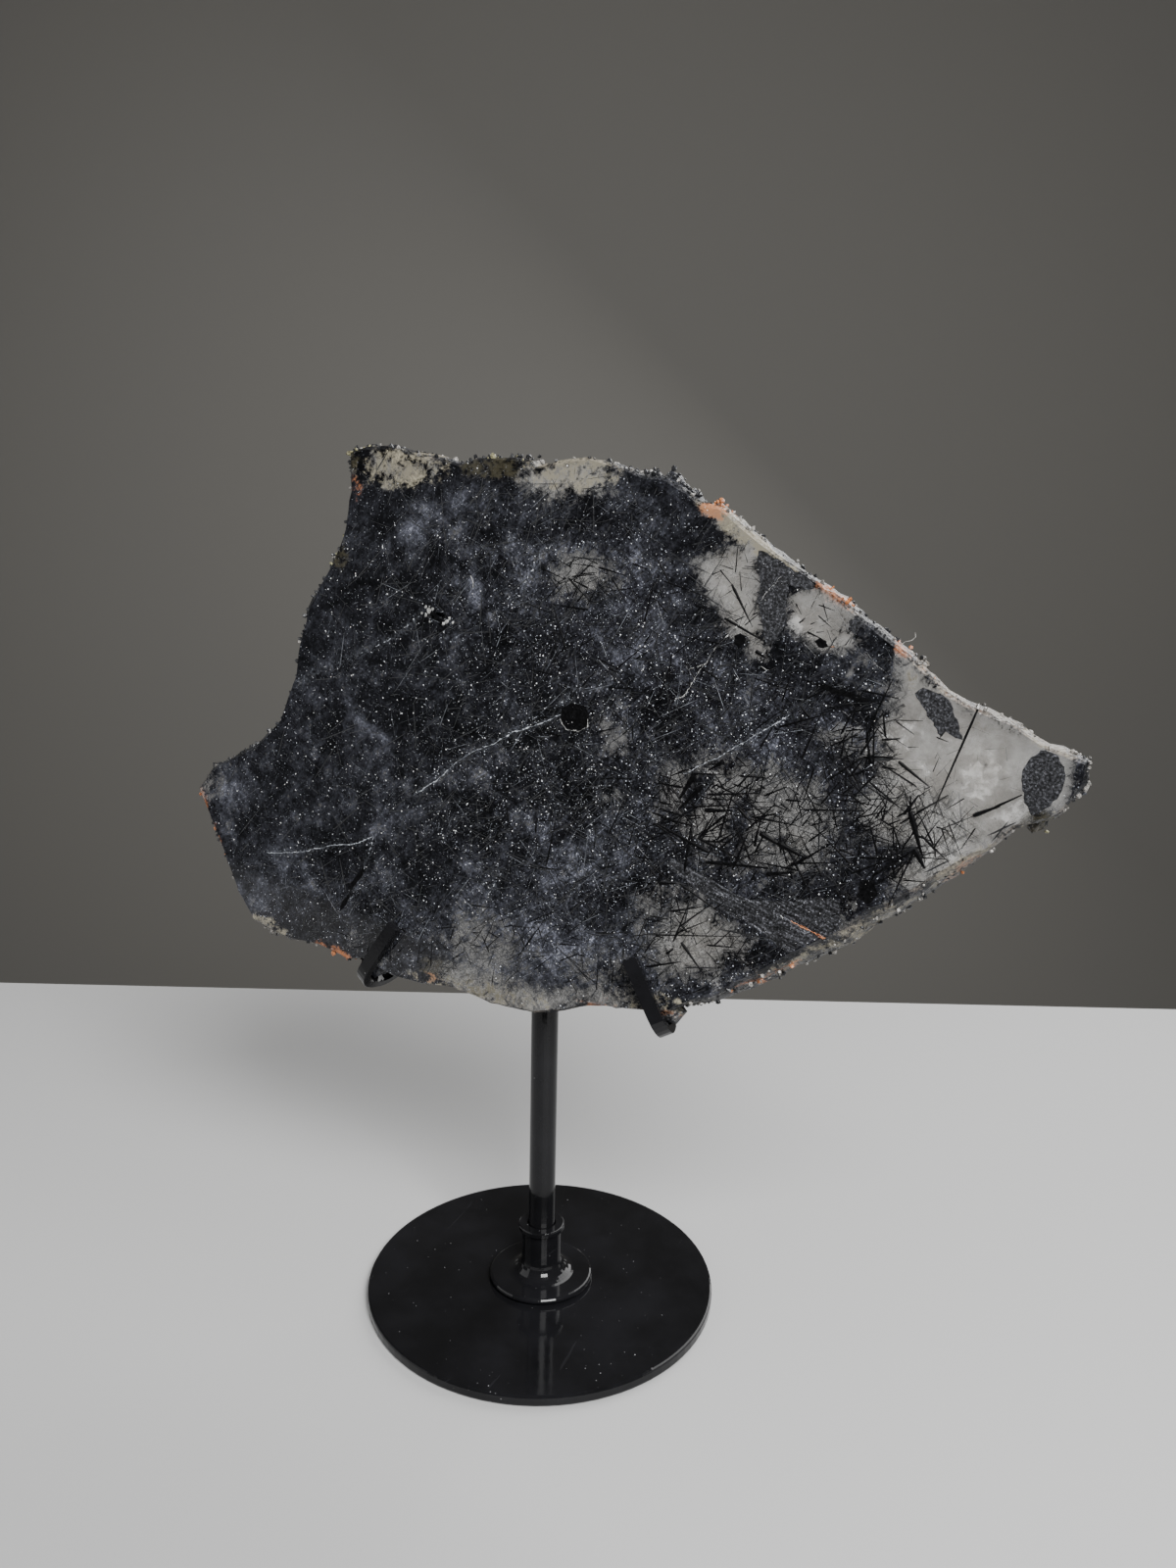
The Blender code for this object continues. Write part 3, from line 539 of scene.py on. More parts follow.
def quartz_material():
    """Clear grey quartz, felted with black tourmaline except in its windows."""
    g = Graph("tourmalinated_quartz")
    broad = g.noise(0.09, 5, 0.6, warp=0.5)
    medium = g.noise(0.34, 6, 0.68)
    fine = g.noise(1.5, 5, 0.78)
    felt = g.streaks(((1.5, 32), (1.7, -40), (1.6, 78)), 3, 0.6, 7, 2)
    rim = g.field("rim")

    thin = g.strands((32, -38, 76, -70), 1.9, 20, 0.625, 0.66)
    thick = g.strands((38, -30, 62, -58), 1.0, 14, 0.64, 0.67)
    crossed = g.math("MAXIMUM", thin, thick)

    clear = g.add(g.field("clear"), g.swing(broad, 0.58, 1.6), g.swing(medium, 0.5, 2.2))
    clear = g.math("SUBTRACT", clear, g.swing(felt, 0.58, 2.2))
    clear = g.add(clear, g.swing(fine, 0.5, 0.9))
    clear = g.step(clear, 0.25, 0.8)
    clear = g.without(clear, g.times(crossed, g.field("felted")))

    woven = g.field("woven")
    wisps = g.strands((26, 44, -34, 70), 2.0, 22, 0.60, 0.66)
    tone = g.add(g.swing(fine, 0.5, g.blend(woven, 1.7, 2.8)), g.swing(medium, 0.5, 2.2),
                 g.swing(broad, 0.5, 2.5), g.swing(felt, 0.58, 1.5), g.times(g.field("haze"), 0.6),
                 g.times(wisps, woven, 0.34))
    tone = g.math("SUBTRACT", tone, g.times(crossed, woven, 0.4))
    tone = g.times(0.011, g.math("POWER", 10.0, tone))
    dark = g.tinted(g.math("MINIMUM", tone, 0.4), (0.93, 0.97, 1.2, 1))
    # Painted glints: white dots mixed into the dark quartz's colour
    painted_glint_dots = g.add(g.dots(1.1, 0.32, 0.22), g.dots(2.2, 0.45, 0.28))
    painted_glint_dots = g.times(painted_glint_dots, g.step(g.add(woven, g.swing(broad, 0.5, 2.0)), 0.0, 0.9, 0.35, 1.0))
    dark = g.mix(painted_glint_dots, dark, (0.72, 0.76, 0.85, 1))
    halo = g.times(g.field("halo"), g.step(fine, 0.45, 0.62))
    dark = g.mix(g.times(halo, 0.16), dark, (0.30, 0.32, 0.36, 1))

    milk = g.step(g.add(g.field("milk"), g.swing(medium, 0.5, 4.0)), 0.3, 1.2)
    milk = g.times(g.step(g.field("milk"), 0.0, 0.4), milk)
    cloud = g.add(g.swing(medium, 0.5, 1.2), g.swing(broad, 0.5, 1.6))
    pale = g.mix(g.step(cloud, -0.25, 0.25), (0.64, 0.62, 0.59, 1), (0.99, 0.98, 0.96, 1))
    pale = g.mix(g.step(g.field("clear"), 0.5, 1.35, 0.6, 0.0), pale, (0.40, 0.40, 0.405, 1))
    crust = g.mix(g.step(fine, 0.4, 0.6), (0.10, 0.088, 0.076, 1), (0.25, 0.22, 0.19, 1))
    crust = g.mix(g.step(medium, 0.56, 0.64, 0.0, 0.8), crust, dark)
    pale = g.mix(rim, pale, crust)
    base = g.mix(g.times(clear, clear), dark, pale)

    mottle = g.add(g.swing(medium, 0.5, 4.0), g.swing(fine, 0.5, 2.0))
    cream = stain(g, "cream", mottle)
    base = g.mix(g.times(cream, g.blend(rim, 0.9, 0.5)), base, (0.38, 0.345, 0.255, 1))
    olive = stain(g, "olive", mottle)
    base = g.mix(g.times(olive, 0.5), base, (0.07, 0.062, 0.036, 1))
    rust = stain(g, "rust", mottle)
    base = g.mix(g.times(rust, 0.75), base, (0.40, 0.15, 0.06, 1))

    open_front = g.step(clear, 0.0, 0.7)
    light = g.blend(g.field("depth"), g.times(open_front, 0.82), g.times(clear, 0.45))
    for cover, share in ((milk, 0.24), (cream, 0.35), (rust, 0.5), (rim, 0.6)):
        light = g.without(light, g.times(cover, share))
    rough = g.blend(rim, g.step(fine, 0.3, 0.8, 0.05, 0.12), g.step(fine, 0.3, 0.7, 0.25, 0.6))
    g.set(Base_Color=base, Roughness=rough, Transmission_Weight=light, IOR=QUARTZ_IOR, Specular_IOR_Level=0.3)
    height = g.add(g.times(medium, 0.8), g.times(g.cells(1.1).outputs["Distance"], g.blend(rim, 0.02, 1.0)))
    g.bump(height, g.blend(rim, 0.02, 0.6), 0.0005)
    absorb = g.node("ShaderNodeVolumeAbsorption")
    absorb.inputs["Color"].default_value, absorb.inputs["Density"].default_value = QUARTZ_ABSORPTION
    g.join(absorb.outputs[0], g.output.inputs["Volume"])
    return g.material


def schorl_material(name, scale, steps, rough, ior, level, shade, bright):
    """Plain black tourmaline, from glossy crystals to a felt that shows nothing but black."""
    g = Graph(name)
    grain = g.noise(scale, 4, 0.7)
    base = g.mix(g.step(grain, *steps), shade, bright)
    g.set(Base_Color=base, Roughness=g.step(grain, 0.3, 0.8, *rough), IOR=ior, Specular_IOR_Level=level)
    g.bump(grain, 0.3, 0.0002)
    return g.material


def cut_schorl_material(name, striped, level):
    """Tourmaline cut by the saw: dark grey, finely pitted, with painted glints."""
    g = Graph(name)
    grain = g.noise(1.8, 5, 0.75)
    stripes = g.noise(1.9, 3, 0.6, g.drawn_out(-22, 9))
    tone = g.add(g.swing(grain, 0.5, 5.4), g.swing(stripes, 0.5, striped))
    tone = g.times(level, g.math("POWER", 10.0, tone))
    base = g.tinted(g.math("MINIMUM", tone, 0.4), (0.96, 0.98, 1.1, 1))
    # Painted glints: pale dots mixed into the cut tourmaline's colour
    painted_glint_dots = g.add(g.dots(1.2, 0.6, 0.24), g.dots(2.4, 0.5, 0.30))
    base = g.mix(g.times(painted_glint_dots, 0.9), base, (0.62, 0.66, 0.74, 1))
    g.set(Base_Color=base, Roughness=g.step(grain, 0.3, 0.8, 0.45, 0.7), IOR=1.63, Specular_IOR_Level=0.15)
    g.bump(grain, 0.35, 0.0003)
    return g.material


def mineral_material(name, shade, bright, clearness, scale, shine):
    """A mottled mineral between two colours."""
    g = Graph(name)
    patchy = g.noise(scale, 4, 0.7)
    base = g.mix(g.step(patchy, 0.35, 0.65), shade, bright)
    g.set(Base_Color=base, Roughness=g.step(patchy, 0.3, 0.7, shine, shine + 0.3), IOR=1.54)
    g.shader.inputs["Transmission Weight"].default_value = clearness
    g.bump(patchy, 0.4, 0.0002)
    return g.material


def area_field(places, areas, soft=0.35):
    """The strongest of the turned ellipses at each place, with soft edges."""
    field = np.zeros(len(places))
    for x, z, wide, tall, turn, strength in areas:
        a = math.radians(turn)
        dx, dz = places[:, 0] - x, places[:, 2] - z
        u = (dx * math.cos(a) + dz * math.sin(a)) / wide
        v = (-dx * math.sin(a) + dz * math.cos(a)) / tall
        out = np.sqrt(u * u + v * v)
        t = np.clip((1 + soft - out) / (2 * soft), 0, 1)
        field = np.maximum(field, strength * t * t * (3 - 2 * t))
    return field


def edge_distance(places, outline):
    """Each place's distance from the closed outline, and whether it is within."""
    ends = np.array(outline, dtype=float)
    nearest = np.full(len(places), 1e9)
    crossings = np.zeros(len(places), dtype=int)
    x, z = places[:, 0], places[:, 2]
    for (x1, z1), (x2, z2) in zip(ends, np.roll(ends, -1, axis=0)):
        run = np.array((x2 - x1, z2 - z1))
        along = np.clip(((x - x1) * run[0] + (z - z1) * run[1]) / (run @ run), 0, 1)
        nearest = np.minimum(nearest, np.hypot(x - x1 - along * run[0], z - z1 - along * run[1]))
        spans = (z1 > z) != (z2 > z)
        meets = x1 + (z - z1) * run[0] / (run[1] if run[1] else 1e-9)
        crossings += (spans & (x < meets)).astype(int)
    return nearest, crossings % 2 == 1


def region_field(places, regions):
    """The strongest of the outlined regions at each place, with soft edges."""
    field = np.zeros(len(places))
    for strength, softness, outline in regions.values():
        distance, within = edge_distance(places, outline)
        t = np.clip((softness - np.where(within, -distance, distance)) / (2 * softness), 0, 1)
        field = np.maximum(field, strength * t * t * (3 - 2 * t))
    return field


def line_field(places, lines, reach):
    """How near each place is to any of the open lines."""
    field = np.zeros(len(places))
    for _, line in lines:
        there_and_back = line + line[-2:0:-1]
        distance, _ = edge_distance(places, there_and_back)
        field = np.maximum(field, np.exp(-(distance / reach) ** 2))
    return field


def clear_field(places):
    return np.maximum(region_field(places, CLEAR_REGIONS) - area_field(places, DARK_AREAS, 0.5), 0)


def felted_areas():
    """Where the needles stand close enough to darken the quartz."""
    return [(x, z, wide, tall, 0, min(FELT_MOST, FELT_SHARE * count / (wide * tall)))
            for x, z, wide, tall, count, _, _, thickest in NEEDLE_FIELDS if thickest > FELT_THICKEST]


def refined_slab():
    """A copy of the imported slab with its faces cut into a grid."""
    shape = bmesh.new()
    shape.from_mesh(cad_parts["slab"].data)
    bmesh.ops.remove_doubles(shape, verts=shape.verts, dist=0.000005)
    bmesh.ops.dissolve_limit(shape, angle_limit=math.radians(0.2), verts=shape.verts, edges=shape.edges)
    for axis, low, high in ((0, SLAB_LOW.x, SLAB_HIGH.x), (2, SLAB_LOW.z, SLAB_HIGH.z)):
        for k in range(1, int((high - low) / (GRID * MM)) + 1):
            co, no = [0, 0, 0], [0, 0, 0]
            co[axis], no[axis] = low + k * GRID * MM, 1
            geometry = shape.verts[:] + shape.edges[:] + shape.faces[:]
            bmesh.ops.bisect_plane(shape, geom=geometry, dist=0.000002, plane_co=co, plane_no=no)
    bmesh.ops.triangulate(shape, faces=shape.faces)
    mesh = bpy.data.meshes.new("quartz")
    shape.to_mesh(mesh)
    shape.free()
    return mesh


def wandered(places, depth):
    """The places, drawn sideways more and more towards the back, so that no stain runs straight through."""
    moved = places.copy()
    moved[:, 0] += STAIN_WANDER * depth * np.sin(0.35 * places[:, 2] + 2.5 * depth + 1.3)
    moved[:, 2] += STAIN_WANDER * depth * np.cos(0.31 * places[:, 0] - 2.1 * depth)
    return moved


def mesh_places(mesh):
    places = np.zeros(len(mesh.vertices) * 3)
    mesh.vertices.foreach_get("co", places)
    return places.reshape(-1, 3) / MM


def slab_fields(mesh):
    """Stores on the mesh, for its material, where the crystal is clear, hazy, stained or broken."""
    places = mesh_places(mesh)
    depth = np.clip((places[:, 1] - FACE_FRONT) / (FACE_BACK - FACE_FRONT), 0, 1)
    stained = wandered(places, depth)
    fields = {
        "clear": clear_field(places),
        "depth": depth,
        "felted": area_field(places, felted_areas(), 0.5),
        "woven": area_field(places, WOVEN_AREAS, 0.7),
        "haze": area_field(places, HAZE_AREAS, 0.7),
        "halo": line_field(places, VEINS, 0.8),
        "milk": area_field(places, MILK_AREAS, 0.6),
        "cream": area_field(stained, CREAM_AREAS, 0.45),
        "rust": area_field(stained, RUST_AREAS, 0.45),
        "olive": area_field(stained, OLIVE_AREAS, 0.45),
    }
    for name, values in fields.items():
        made = mesh.attributes.new(name, "FLOAT", "POINT")
        made.data.foreach_set("value", values.astype(np.float32))
    normals = np.zeros(len(mesh.polygons) * 3, dtype=np.float32)
    mesh.polygons.foreach_get("normal", normals)
    rim = mesh.attributes.new("rim", "FLOAT", "FACE")
    rim.data.foreach_set("value", (np.abs(normals[1::3]) < FACE_TURN).astype(np.float32))


class Body:
    """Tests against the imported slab."""

    def __init__(self):
        self.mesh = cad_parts["slab"].data
        corners = [v.co for v in self.mesh.vertices]
        self.tree = BVHTree.FromPolygons(corners, [p.vertices for p in self.mesh.polygons])

    def on_face(self, x, z, side):
        """Whether the sawn face is there, seen from the front (-1) or the back (1)."""
        face = FACE_FRONT if side < 0 else FACE_BACK
        hit = self.tree.ray_cast(Vector((x, face + side * 5, z)) * MM, Vector((0, -side, 0)))[0]
        return hit is not None and abs(hit.y / MM - face) < 0.05

    def holds(self, x, z, margin=1.2):
        """Whether both sawn faces are there, and a margin round the place."""
        for dx, dz in ((0, 0), (margin, 0), (-margin, 0), (0, margin), (0, -margin)):
            if not (self.on_face(x + dx, z + dz, -1) and self.on_face(x + dx, z + dz, 1)):
                return False
        return True


def solid_mesh(name, verts, faces):
    mesh = bpy.data.meshes.new(name)
    mesh.from_pydata([Vector(v) * MM for v in verts], [], faces)
    return mesh


def prism_mesh(name, rods):
    """One mesh of hexagonal rods, each (start, end, radius), tapering a little at their ends."""
    verts, faces = [], []
    for start, end, radius in rods:
        a, b = Vector(start), Vector(end)
        along = (b - a).normalized()
        side = along.cross(Vector((0.3, 1, 0.2))).normalized()
        up = along.cross(side)
        first = len(verts)
        for share, size in ROD_RINGS:
            for k in range(ROD_SIDES):
                turn = k * 2 * math.pi / ROD_SIDES
                out = side * math.cos(turn) + up * math.sin(turn)
                verts.append(a.lerp(b, share) + out * radius * size)
        for low in range(first, len(verts) - ROD_SIDES, ROD_SIDES):
            for k in range(ROD_SIDES):
                after = (k + 1) % ROD_SIDES
                faces.append((low + k, low + after, low + ROD_SIDES + after, low + ROD_SIDES + k))
        faces.append([first + k for k in reversed(range(ROD_SIDES))])
        faces.append([len(verts) - ROD_SIDES + k for k in range(ROD_SIDES)])
    return solid_mesh(name, verts, faces)


def needles(body):
    """Every schorl needle: the single ones and the scattered fields."""
    rng = random.Random(23)
    rods = []
    for x1, z1, x2, z2, radius in NEEDLES:
        near = FACE_FRONT + NEEDLE_DEPTH * radius
        rods.append(((x1, near, z1), (x2, near + rng.uniform(0.0, 0.05), z2), radius))
    for x, z, wide, tall, count, shortest, longest, thickest in NEEDLE_FIELDS:
        for _ in range(count):
            way, out = rng.uniform(0, 2 * math.pi), math.sqrt(rng.random())
            cx, cz = x + wide * out * math.cos(way), z + tall * out * math.sin(way)
            length = rng.uniform(shortest, longest) * rng.uniform(0.5, 1)
            turn = rng.gauss(math.radians(35), 0.9) if rng.random() < 0.6 else rng.uniform(0, math.pi)
            tilt = rng.uniform(-0.4, 0.4)
            radius = thickest * rng.uniform(0.22, 1.0) ** 1.5
            half = Vector((math.cos(turn) * math.cos(tilt), math.sin(tilt), math.sin(turn) * math.cos(tilt)))
            half *= length / 2
            room = FACE_BACK - FACE_FRONT - NEEDLE_COVERS - 2 * abs(half.y)
            if room <= 0:
                continue
            if rng.random() < SURFACE_SHARE:
                half.y, room = 0.0, 0.0
            start = FACE_FRONT + (NEEDLE_COVER + abs(half.y) if room else NEEDLE_DEPTH * radius)
            centre = Vector((cx, start + room * rng.random() ** 2, cz))
            a, b = centre - half, centre + half
            if body.holds(a.x, a.z) and body.holds(b.x, b.z):
                rods.append((a, b, radius))
    return prism_mesh("needles", rods)


def ragged(outline, rng, step=0.9, rough=0.22):
    """The outline at fine steps, each point moved a little at random."""
    points = []
    for k, (x, z) in enumerate(outline):
        fx, fz = outline[(k + 1) % len(outline)]
        steps = max(1, round(math.hypot(fx - x, fz - z) / step))
        for j in range(steps):
            t = j / steps
            points.append((x + (fx - x) * t + rng.uniform(-rough, rough),
                           z + (fz - z) * t + rng.uniform(-rough, rough)))
    return points


def plate_mesh(name, outlines, body):
    """Plates of schorl, each from its depth and an outline that is kept within the front face."""
    verts, faces = [], []
    for depth, outline in outlines:
        middle = Vector((sum(x for x, _ in outline), sum(z for _, z in outline))) / len(outline)
        ring = []
        for x, z in outline:
            point = Vector((x, z))
            for _ in range(PLATE_PULLS):
                if body.on_face(point.x, point.y, -1):
                    break
                point = point.lerp(middle, PLATE_PULL)
            ring.append(point)
        if sum(here.cross(after) for here, after in zip(ring, ring[1:] + ring[:1])) < 0:
            ring.reverse()
        first, count = len(verts), len(ring)
        for y in (FACE_FRONT - PLATE_PROUD, FACE_FRONT - PLATE_PROUD + depth):
            verts += [(point.x, y, point.y) for point in ring]
        faces.append([first + k for k in range(count)])
        faces.append([first + count + k for k in reversed(range(count))])
        for k in range(count):
            after = (k + 1) % count
            faces.append((first + after, first + k, first + count + k, first + count + after))
    return solid_mesh(name, verts, faces)


def schorl_plates(body):
    """The crystals cut by the front face, sorted by how they look, with black plates over the pits as painted
    shade.
    """
    rng = random.Random(7)
    kinds = {"speckled": [], "striped": [], "dense": [(HEXAGON_DEPTH, ragged(HEXAGON, rng, 1.2, 0.08))]}
    for name, (depth, outline) in SCHORL_PLATES.items():
        kinds[PLATE_LOOKS.get(name, "speckled")].append((depth, ragged(outline, rng)))
    # Black plates over the pits: painted shade, given the dense black look
    for outline in PIT_SHADE_PLATES:
        kinds["dense"].append((PIT_SHADE_DEPTH, ragged(outline, rng, 0.6, 0.16)))
    return {kind: plate_mesh("schorl_" + kind, outlines, body) for kind, outlines in kinds.items()}


def add_sliver(verts, faces, ring, peaks, side):
    """Adds a low closed form: a ring of corners set in the face, and the peaks that stand out of it."""
    first, count = len(verts), len(ring)
    verts += ring + peaks
    nearest = [min(range(len(peaks)), key=lambda j: math.dist(peaks[j], corner)) for corner in ring]
    made = [[first + k for k in reversed(range(count))]]
    for k in range(count):
        after = (k + 1) % count
        corners = [first + k, first + after, first + count + nearest[after]]
        if nearest[after] != nearest[k]:
            corners.append(first + count + nearest[k])
        made.append(corners)
    faces += made if side < 0 else [corners[::-1] for corners in made]


def add_ridge(verts, faces, stations):
    """Adds a closed ridge through the stations, each (right edge, crest, left edge)."""
    if len(stations) < 2:
        return
    first = len(verts)
    for station in stations:
        verts += station
    for k in range(len(stations) - 1):
        near, far = first + 3 * k, first + 3 * k + 3
        for j in range(3):
            after = (j + 1) % 3
            faces.append((near + j, far + j, far + after, near + after))
    last = len(verts) - 3
    faces += [(first, first + 1, first + 2), (last, last + 2, last + 1)]


def ribbon_mesh(name, lines, seed, unbroken):
    """Thin broken slivers along each line, just proud of the front face."""
    rng = random.Random(seed)
    verts, faces = [], []
    for width, line in lines:
        path = []
        for (x1, z1), (x2, z2) in zip(line, line[1:]):
            steps = max(1, round(math.hypot(x2 - x1, z2 - z1) / RIBBON_STEP))
            path += [Vector((x1, z1)).lerp(Vector((x2, z2)), j / steps) for j in range(steps)]
        sway = 0.0
        stations = []
        for here, after in zip(path, path[1:]):
            run = (after - here).normalized()
            across = Vector((-run.y, run.x))
            sway = 0.8 * sway + rng.uniform(-RIBBON_SWAY, RIBBON_SWAY)
            half = width / 2 * max(unbroken, rng.uniform(-0.5, 1.0))
            if half < RIBBON_THINNEST:
                add_ridge(verts, faces, stations)
                stations = []
                continue
            right, crest, left = (here + across * (sway + out) for out in (-half, 0, half))
            edge, top = FACE_FRONT + SUNK, FACE_FRONT - CREST_PROUD
            stations.append([(right.x, edge, right.y), (crest.x, top, crest.y), (left.x, edge, left.y)])
        add_ridge(verts, faces, stations)
    return solid_mesh(name, verts, faces)


def scattered(rng, count):
    """Random places over the slab's whole width and height."""
    places = np.zeros((count, 3))
    for axis in (0, 2):
        places[:, axis] = rng.uniform(SLAB_LOW[axis] / MM, SLAB_HIGH[axis] / MM, count)
    return places


def hairs(name, body, seed, count, widest, longest, proud, clearest):
    """Fine needles lying in both sawn faces, except where the quartz is clear."""
    rng = np.random.default_rng(seed)
    verts, faces = [], []
    for side, face in ((-1, FACE_FRONT), (1, FACE_BACK)):
        places = scattered(rng, 3 * count)
        clear = clear_field(places)
        crowd = 0.12 + 0.88 * area_field(places, WOVEN_AREAS, 0.7)
        made = 0
        for (x, _, z), here, near in zip(places, clear, crowd):
            if here > clearest or made == count or rng.random() > near:
                continue
            turn = rng.normal(math.radians(34), 0.7) if rng.random() < 0.65 else rng.uniform(0, math.pi)
            reach = longest * (0.12 + 0.88 * rng.random() ** 2.2) / 2
            half = widest * (0.25 + 0.75 * rng.random() ** 3) / 2
            run, across = (math.cos(turn), math.sin(turn)), (-math.sin(turn), math.cos(turn))
            ends = [(x + run[0] * reach * t, z + run[1] * reach * t) for t in (-1.1, 1.1)]
            if not all(body.on_face(ex, ez, side) for ex, ez in ends):
                continue
            made += 1
            placed = [(x + run[0] * reach * t + across[0] * half * w,
                       z + run[1] * reach * t + across[1] * half * w) for t, w in HAIR_CORNERS]
            ring = [(px, face - side * SUNK, pz) for px, pz in placed[:6]]
            add_sliver(verts, faces, ring, [(px, face + side * proud, pz) for px, pz in placed[6:]], side)
    return solid_mesh(name, verts, faces)


def glints(body):
    """Tiny crystal faces coloured near white as painted glints, set in both sawn faces and crowded in the
    middle.
    """
    rng = np.random.default_rng(31)
    verts, faces = [], []
    smallest, largest = GLINT_SIZES
    for side, face in ((-1, FACE_FRONT), (1, FACE_BACK)):
        places = scattered(rng, 6 * GLINTS_A_SIDE)
        crowd = 0.35 + 0.65 * area_field(places, GLINT_CROWD, 0.8)
        chance = crowd * (1 - 0.85 * clear_field(places))
        made = 0
        for (x, _, z), take in zip(places, rng.random(len(places)) < chance):
            if not take or made == GLINTS_A_SIDE or not body.on_face(x, z, side):
                continue
            made += 1
            size = smallest + (largest - smallest) * rng.random() ** 4
            corners = int(rng.integers(3, 6))
            start = rng.uniform(0, math.pi)
            ring = []
            for k in range(corners):
                turn = start + 2 * math.pi * k / corners
                out = size * rng.uniform(0.7, 1.2)
                ring.append((x + out * math.cos(turn), face - side * SUNK, z + out * math.sin(turn)))
            add_sliver(verts, faces, ring, [(x, face + side * GLINT_PROUD, z)], side)
    return solid_mesh("glints", verts, faces)


def chip_shape():
    shape = bmesh.new()
    bmesh.ops.create_icosphere(shape, subdivisions=1, radius=1)
    verts = [v.co.copy() for v in shape.verts]
    faces = [[v.index for v in face.verts] for face in shape.faces]
    shape.free()
    return verts, faces


def chip_mesh(name, chips, rng):
    """One mesh of small broken crystals, each (centre, outward direction, size, stretch)."""
    plain, sides = chip_shape()
    verts, faces = [], []
    for centre, outward, size, stretch in chips:
        turn = outward.to_track_quat("Z", "Y").to_matrix() @ Matrix.Rotation(rng.uniform(0, 6), 3, "Z")
        first = len(verts)
        for v in plain:
            rough = Vector(v) * rng.uniform(0.7, 1.25)
            verts.append(centre + turn @ Vector((rough.x * size, rough.y * size, rough.z * size * stretch)))
        faces += [[first + k for k in side] for side in sides]
    return solid_mesh(name, verts, faces)


def rim_chips(body):
    """Small crystals all round the broken rim, sorted by the colour of the stone that they stand on."""
    rng = random.Random(41)
    arms = [[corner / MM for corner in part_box(name)] for name in ("left_arm", "right_arm")]
    rim = [(v.co / MM, v.normal) for v in body.mesh.vertices
           if FACE_FRONT + RIM_MARGIN < v.co.y / MM < FACE_BACK - RIM_MARGIN]
    rim = [(co, out) for co, out in rim
           if not any(low.x - 1 < co.x < high.x + 1 and co.z < high.z for low, high in arms)]
    chosen = [rng.choice(rim) for _ in range(RIM_CHIPS)]
    places = np.array([co for co, _ in chosen])
    stains = {
        "rust": area_field(places, RUST_AREAS, 0.45),
        "olive": area_field(places, OLIVE_AREAS, 0.45),
        "pale": np.maximum(area_field(places, CREAM_AREAS, 0.45), clear_field(places)),
    }
    kinds = {"dark": [], "pale": [], "rust": [], "olive": []}
    smooth = np.minimum(clear_field(places), 1) * CLEAR_RIM_SMOOTH
    for k, (co, out) in enumerate(chosen):
        if rng.random() < smooth[k]:
            continue
        kind = "pale" if rng.random() < (0.7 if co.x > TIP_SIDE else 0.14) else "dark"
        for name, field in stains.items():
            if rng.random() < field[k] * 0.9:
                kind = name
                break
        outward = Vector((out.x, 0.5 * out.y, out.z)).normalized()
        size = rng.uniform(*RIM_CHIP_SIZES) * rng.uniform(0.6, 1)
        serrated = co.x < SERRATED_SIDE
        stretch = rng.uniform(1.2, 2.0) if serrated else rng.uniform(0.7, 1.5)
        sideways = Vector((-outward.z, 0, outward.x)) * rng.uniform(-1.2, 1.2)
        centre = co + sideways + outward * size * rng.uniform(-0.1, 0.35)
        kinds[kind].append((centre, outward, size, stretch))
    return {kind: chip_mesh("rim_chips_" + kind, chips, rng) for kind, chips in kinds.items()}


def pit_chips():
    rng = random.Random(5)
    chips = []
    for dx, dz, size in PIT_CHIPS:
        centre = Vector((PIT_CENTRE[0] + dx, FACE_FRONT + 0.25 * size, PIT_CENTRE[1] + dz))
        chips.append((centre, Vector((dx * 0.1, -1, dz * 0.1)).normalized(), size, 0.7))
    return chip_mesh("pit_crystals", chips, rng)


def lint():
    """A curl of fibre caught on the upper right rim."""
    middle = (FACE_FRONT + FACE_BACK) / 2
    points = [(x, middle - 3.4 + 0.3 * k, z) for k, (x, z) in enumerate(LINT)]
    return prism_mesh("lint", [(a, b, LINT_RADIUS) for a, b in zip(points, points[1:])])


def camera():
    data = bpy.data.cameras.new("camera")
    data.lens = CAMERA_LENS
    data.sensor_width = 36
    data.clip_start, data.clip_end = 0.01, 20
    made = bpy.data.objects.new("camera", data)
    PIECES.objects.link(made)
    turn = Matrix.Rotation(math.radians(CAMERA_HEADING), 4, "Z")
    turn = turn @ Matrix.Rotation(math.radians(90 + CAMERA_PITCH), 4, "X")
    turn = turn @ Matrix.Rotation(math.radians(CAMERA_ROLL), 4, "Z")
    made.matrix_world = Matrix.Translation(CAMERA_PLACE) @ turn
    bpy.context.scene.camera = made


def plain_sheet(name, corners, colour, roughness):
    heading = Matrix.Rotation(math.radians(CAMERA_HEADING), 4, "Z")
    sheet = bpy.data.meshes.new(name)
    sheet.from_pydata([heading @ Vector(corner) for corner in corners], [], [(0, 1, 2, 3)])
    g = Graph("plain_" + name)
    g.set(Base_Color=colour, Roughness=roughness)
    link(name, sheet, g.material)


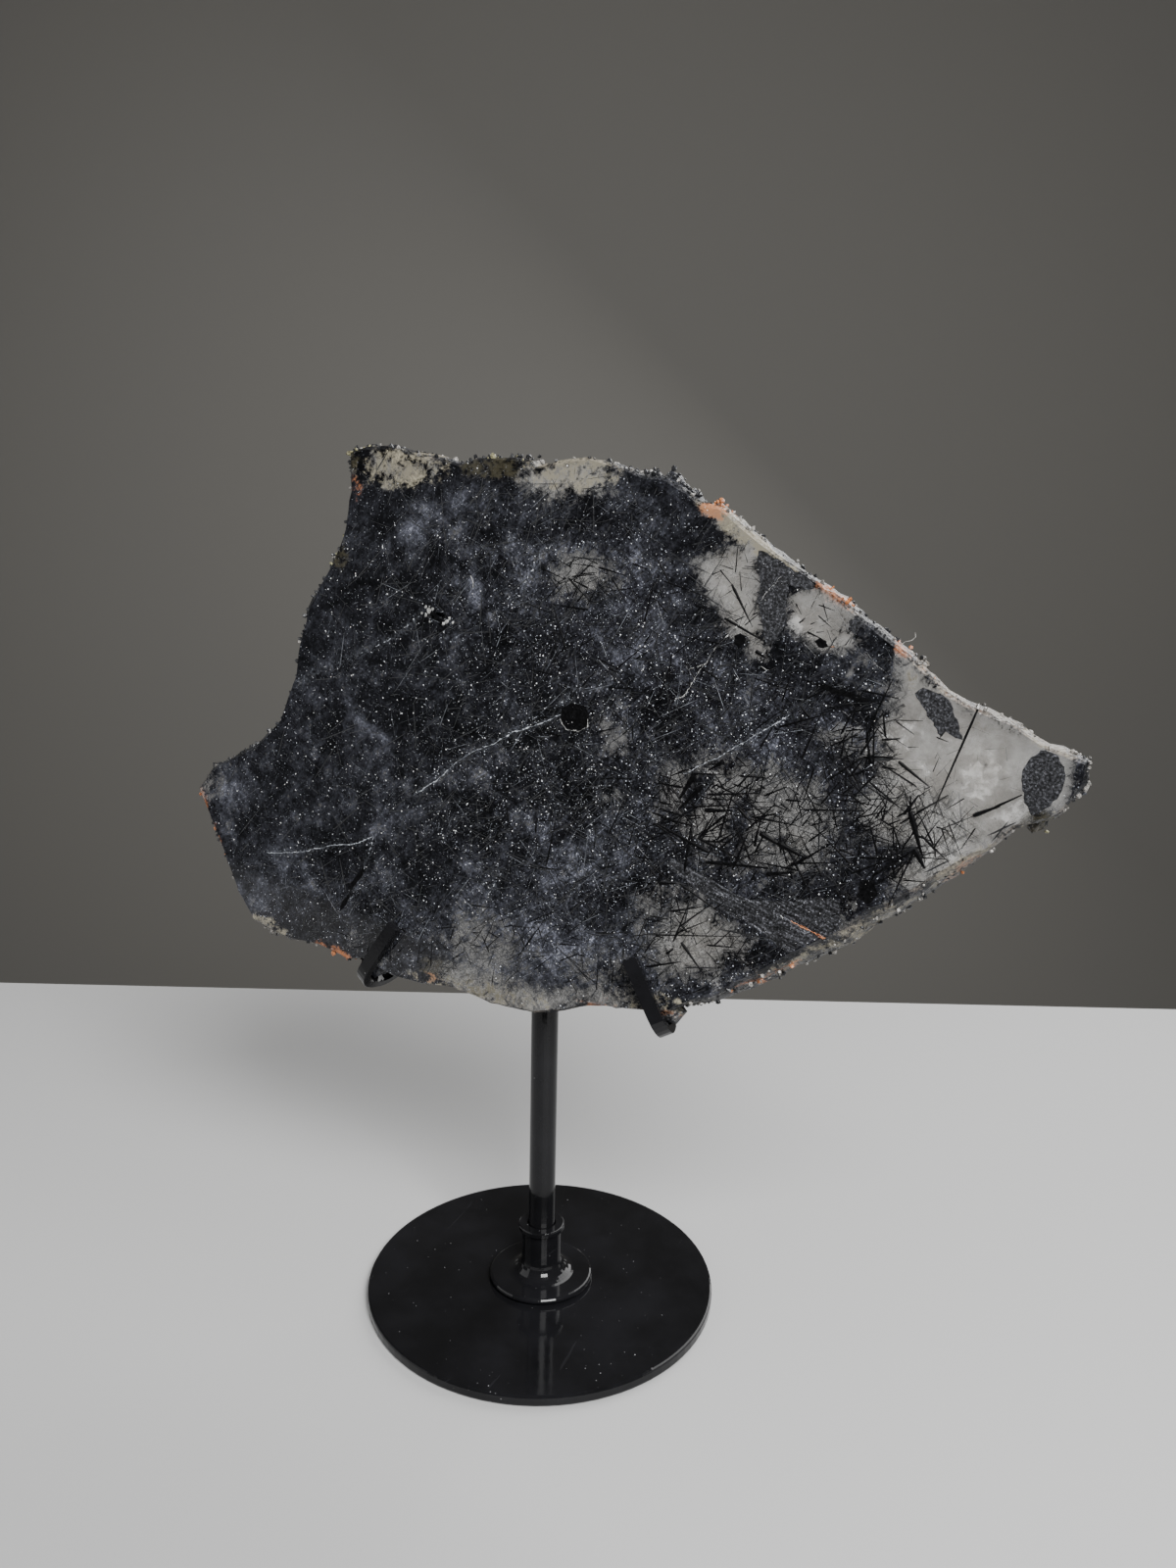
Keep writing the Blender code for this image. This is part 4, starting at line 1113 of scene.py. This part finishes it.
def stage():
    """A pale table top, a plain grey backdrop and soft lights."""
    plain_sheet("floor", [(-TABLE_SIDE, -TABLE_FRONT, 0), (TABLE_SIDE, -TABLE_FRONT, 0),
                          (TABLE_SIDE, TABLE_REAR, 0), (-TABLE_SIDE, TABLE_REAR, 0)], grey(0.47), 0.6)
    plain_sheet("backdrop", [(-WALL_SIDE, WALL_REAR, -WALL_SIDE), (WALL_SIDE, WALL_REAR, -WALL_SIDE),
                             (WALL_SIDE, WALL_REAR, WALL_SIDE), (-WALL_SIDE, WALL_REAR, WALL_SIDE)],
                (0.20, 0.193, 0.178, 1), 0.9)
    world = bpy.data.worlds.new("studio")
    world.use_nodes = True
    back = world.node_tree.nodes["Background"]
    back.inputs["Color"].default_value = (0.10, 0.099, 0.096, 1)
    bpy.context.scene.world = world
    for name, (place, aim, size, power) in LIGHTS.items():
        data = bpy.data.lights.new(name, "AREA")
        data.size = size
        data.energy = power
        made = bpy.data.objects.new(name, data)
        PIECES.objects.link(made)
        made.location = place
        made.rotation_euler = (Vector(aim) - Vector(place)).to_track_quat("-Z", "Y").to_euler()


def main():
    camera()
    stage()
    lacquer = lacquer_material()
    for name in METAL_NODES:
        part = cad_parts[name]
        part.data.materials.clear()
        part.data.materials.append(lacquer)
    look = {name: schorl_material(name, *values) for name, values in SCHORLS.items()}
    look.update({name: mineral_material(name, *values) for name, values in MINERALS.items()})
    body = Body()
    quartz = refined_slab()
    slab_fields(quartz)
    slab = link("quartz", quartz, quartz_material())
    plates = schorl_plates(body)
    pieces = [slab, link("needles", needles(body), look["dense_schorl"])]
    for kind, values in CUT_SCHORLS.items():
        pieces.append(link("schorl_" + kind, plates[kind], cut_schorl_material(kind + "_schorl", *values)))
    pieces += [
        # The dense black plates, with the painted shade over the pits among them
        link("schorl_dense", plates["dense"], look["dense_schorl"]),
        link("dark_hairs", hairs("dark_hairs", body, *DARK_HAIRS), look["black_schorl"]),
        link("pale_hairs", hairs("pale_hairs", body, *PALE_HAIRS), look["pale_hair"]),
    ]
    for name, (lines, seed, unbroken, mineral) in RIBBONS.items():
        pieces.append(link(name, ribbon_mesh(name, lines, seed, unbroken), look[mineral]))
    pieces.append(link("glints", glints(body), look["painted_glint"]))
    for kind, mesh in rim_chips(body).items():
        pieces.append(link("rim_chips_" + kind, mesh, look[CHIP_MINERALS[kind]]))
    pieces.append(link("pit_crystals", pit_chips(), look["white_crystal"]))
    pieces.append(link("lint", lint(), look["fibre"]))
    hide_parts("slab")
    for piece in pieces:
        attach(piece, "root")


main()
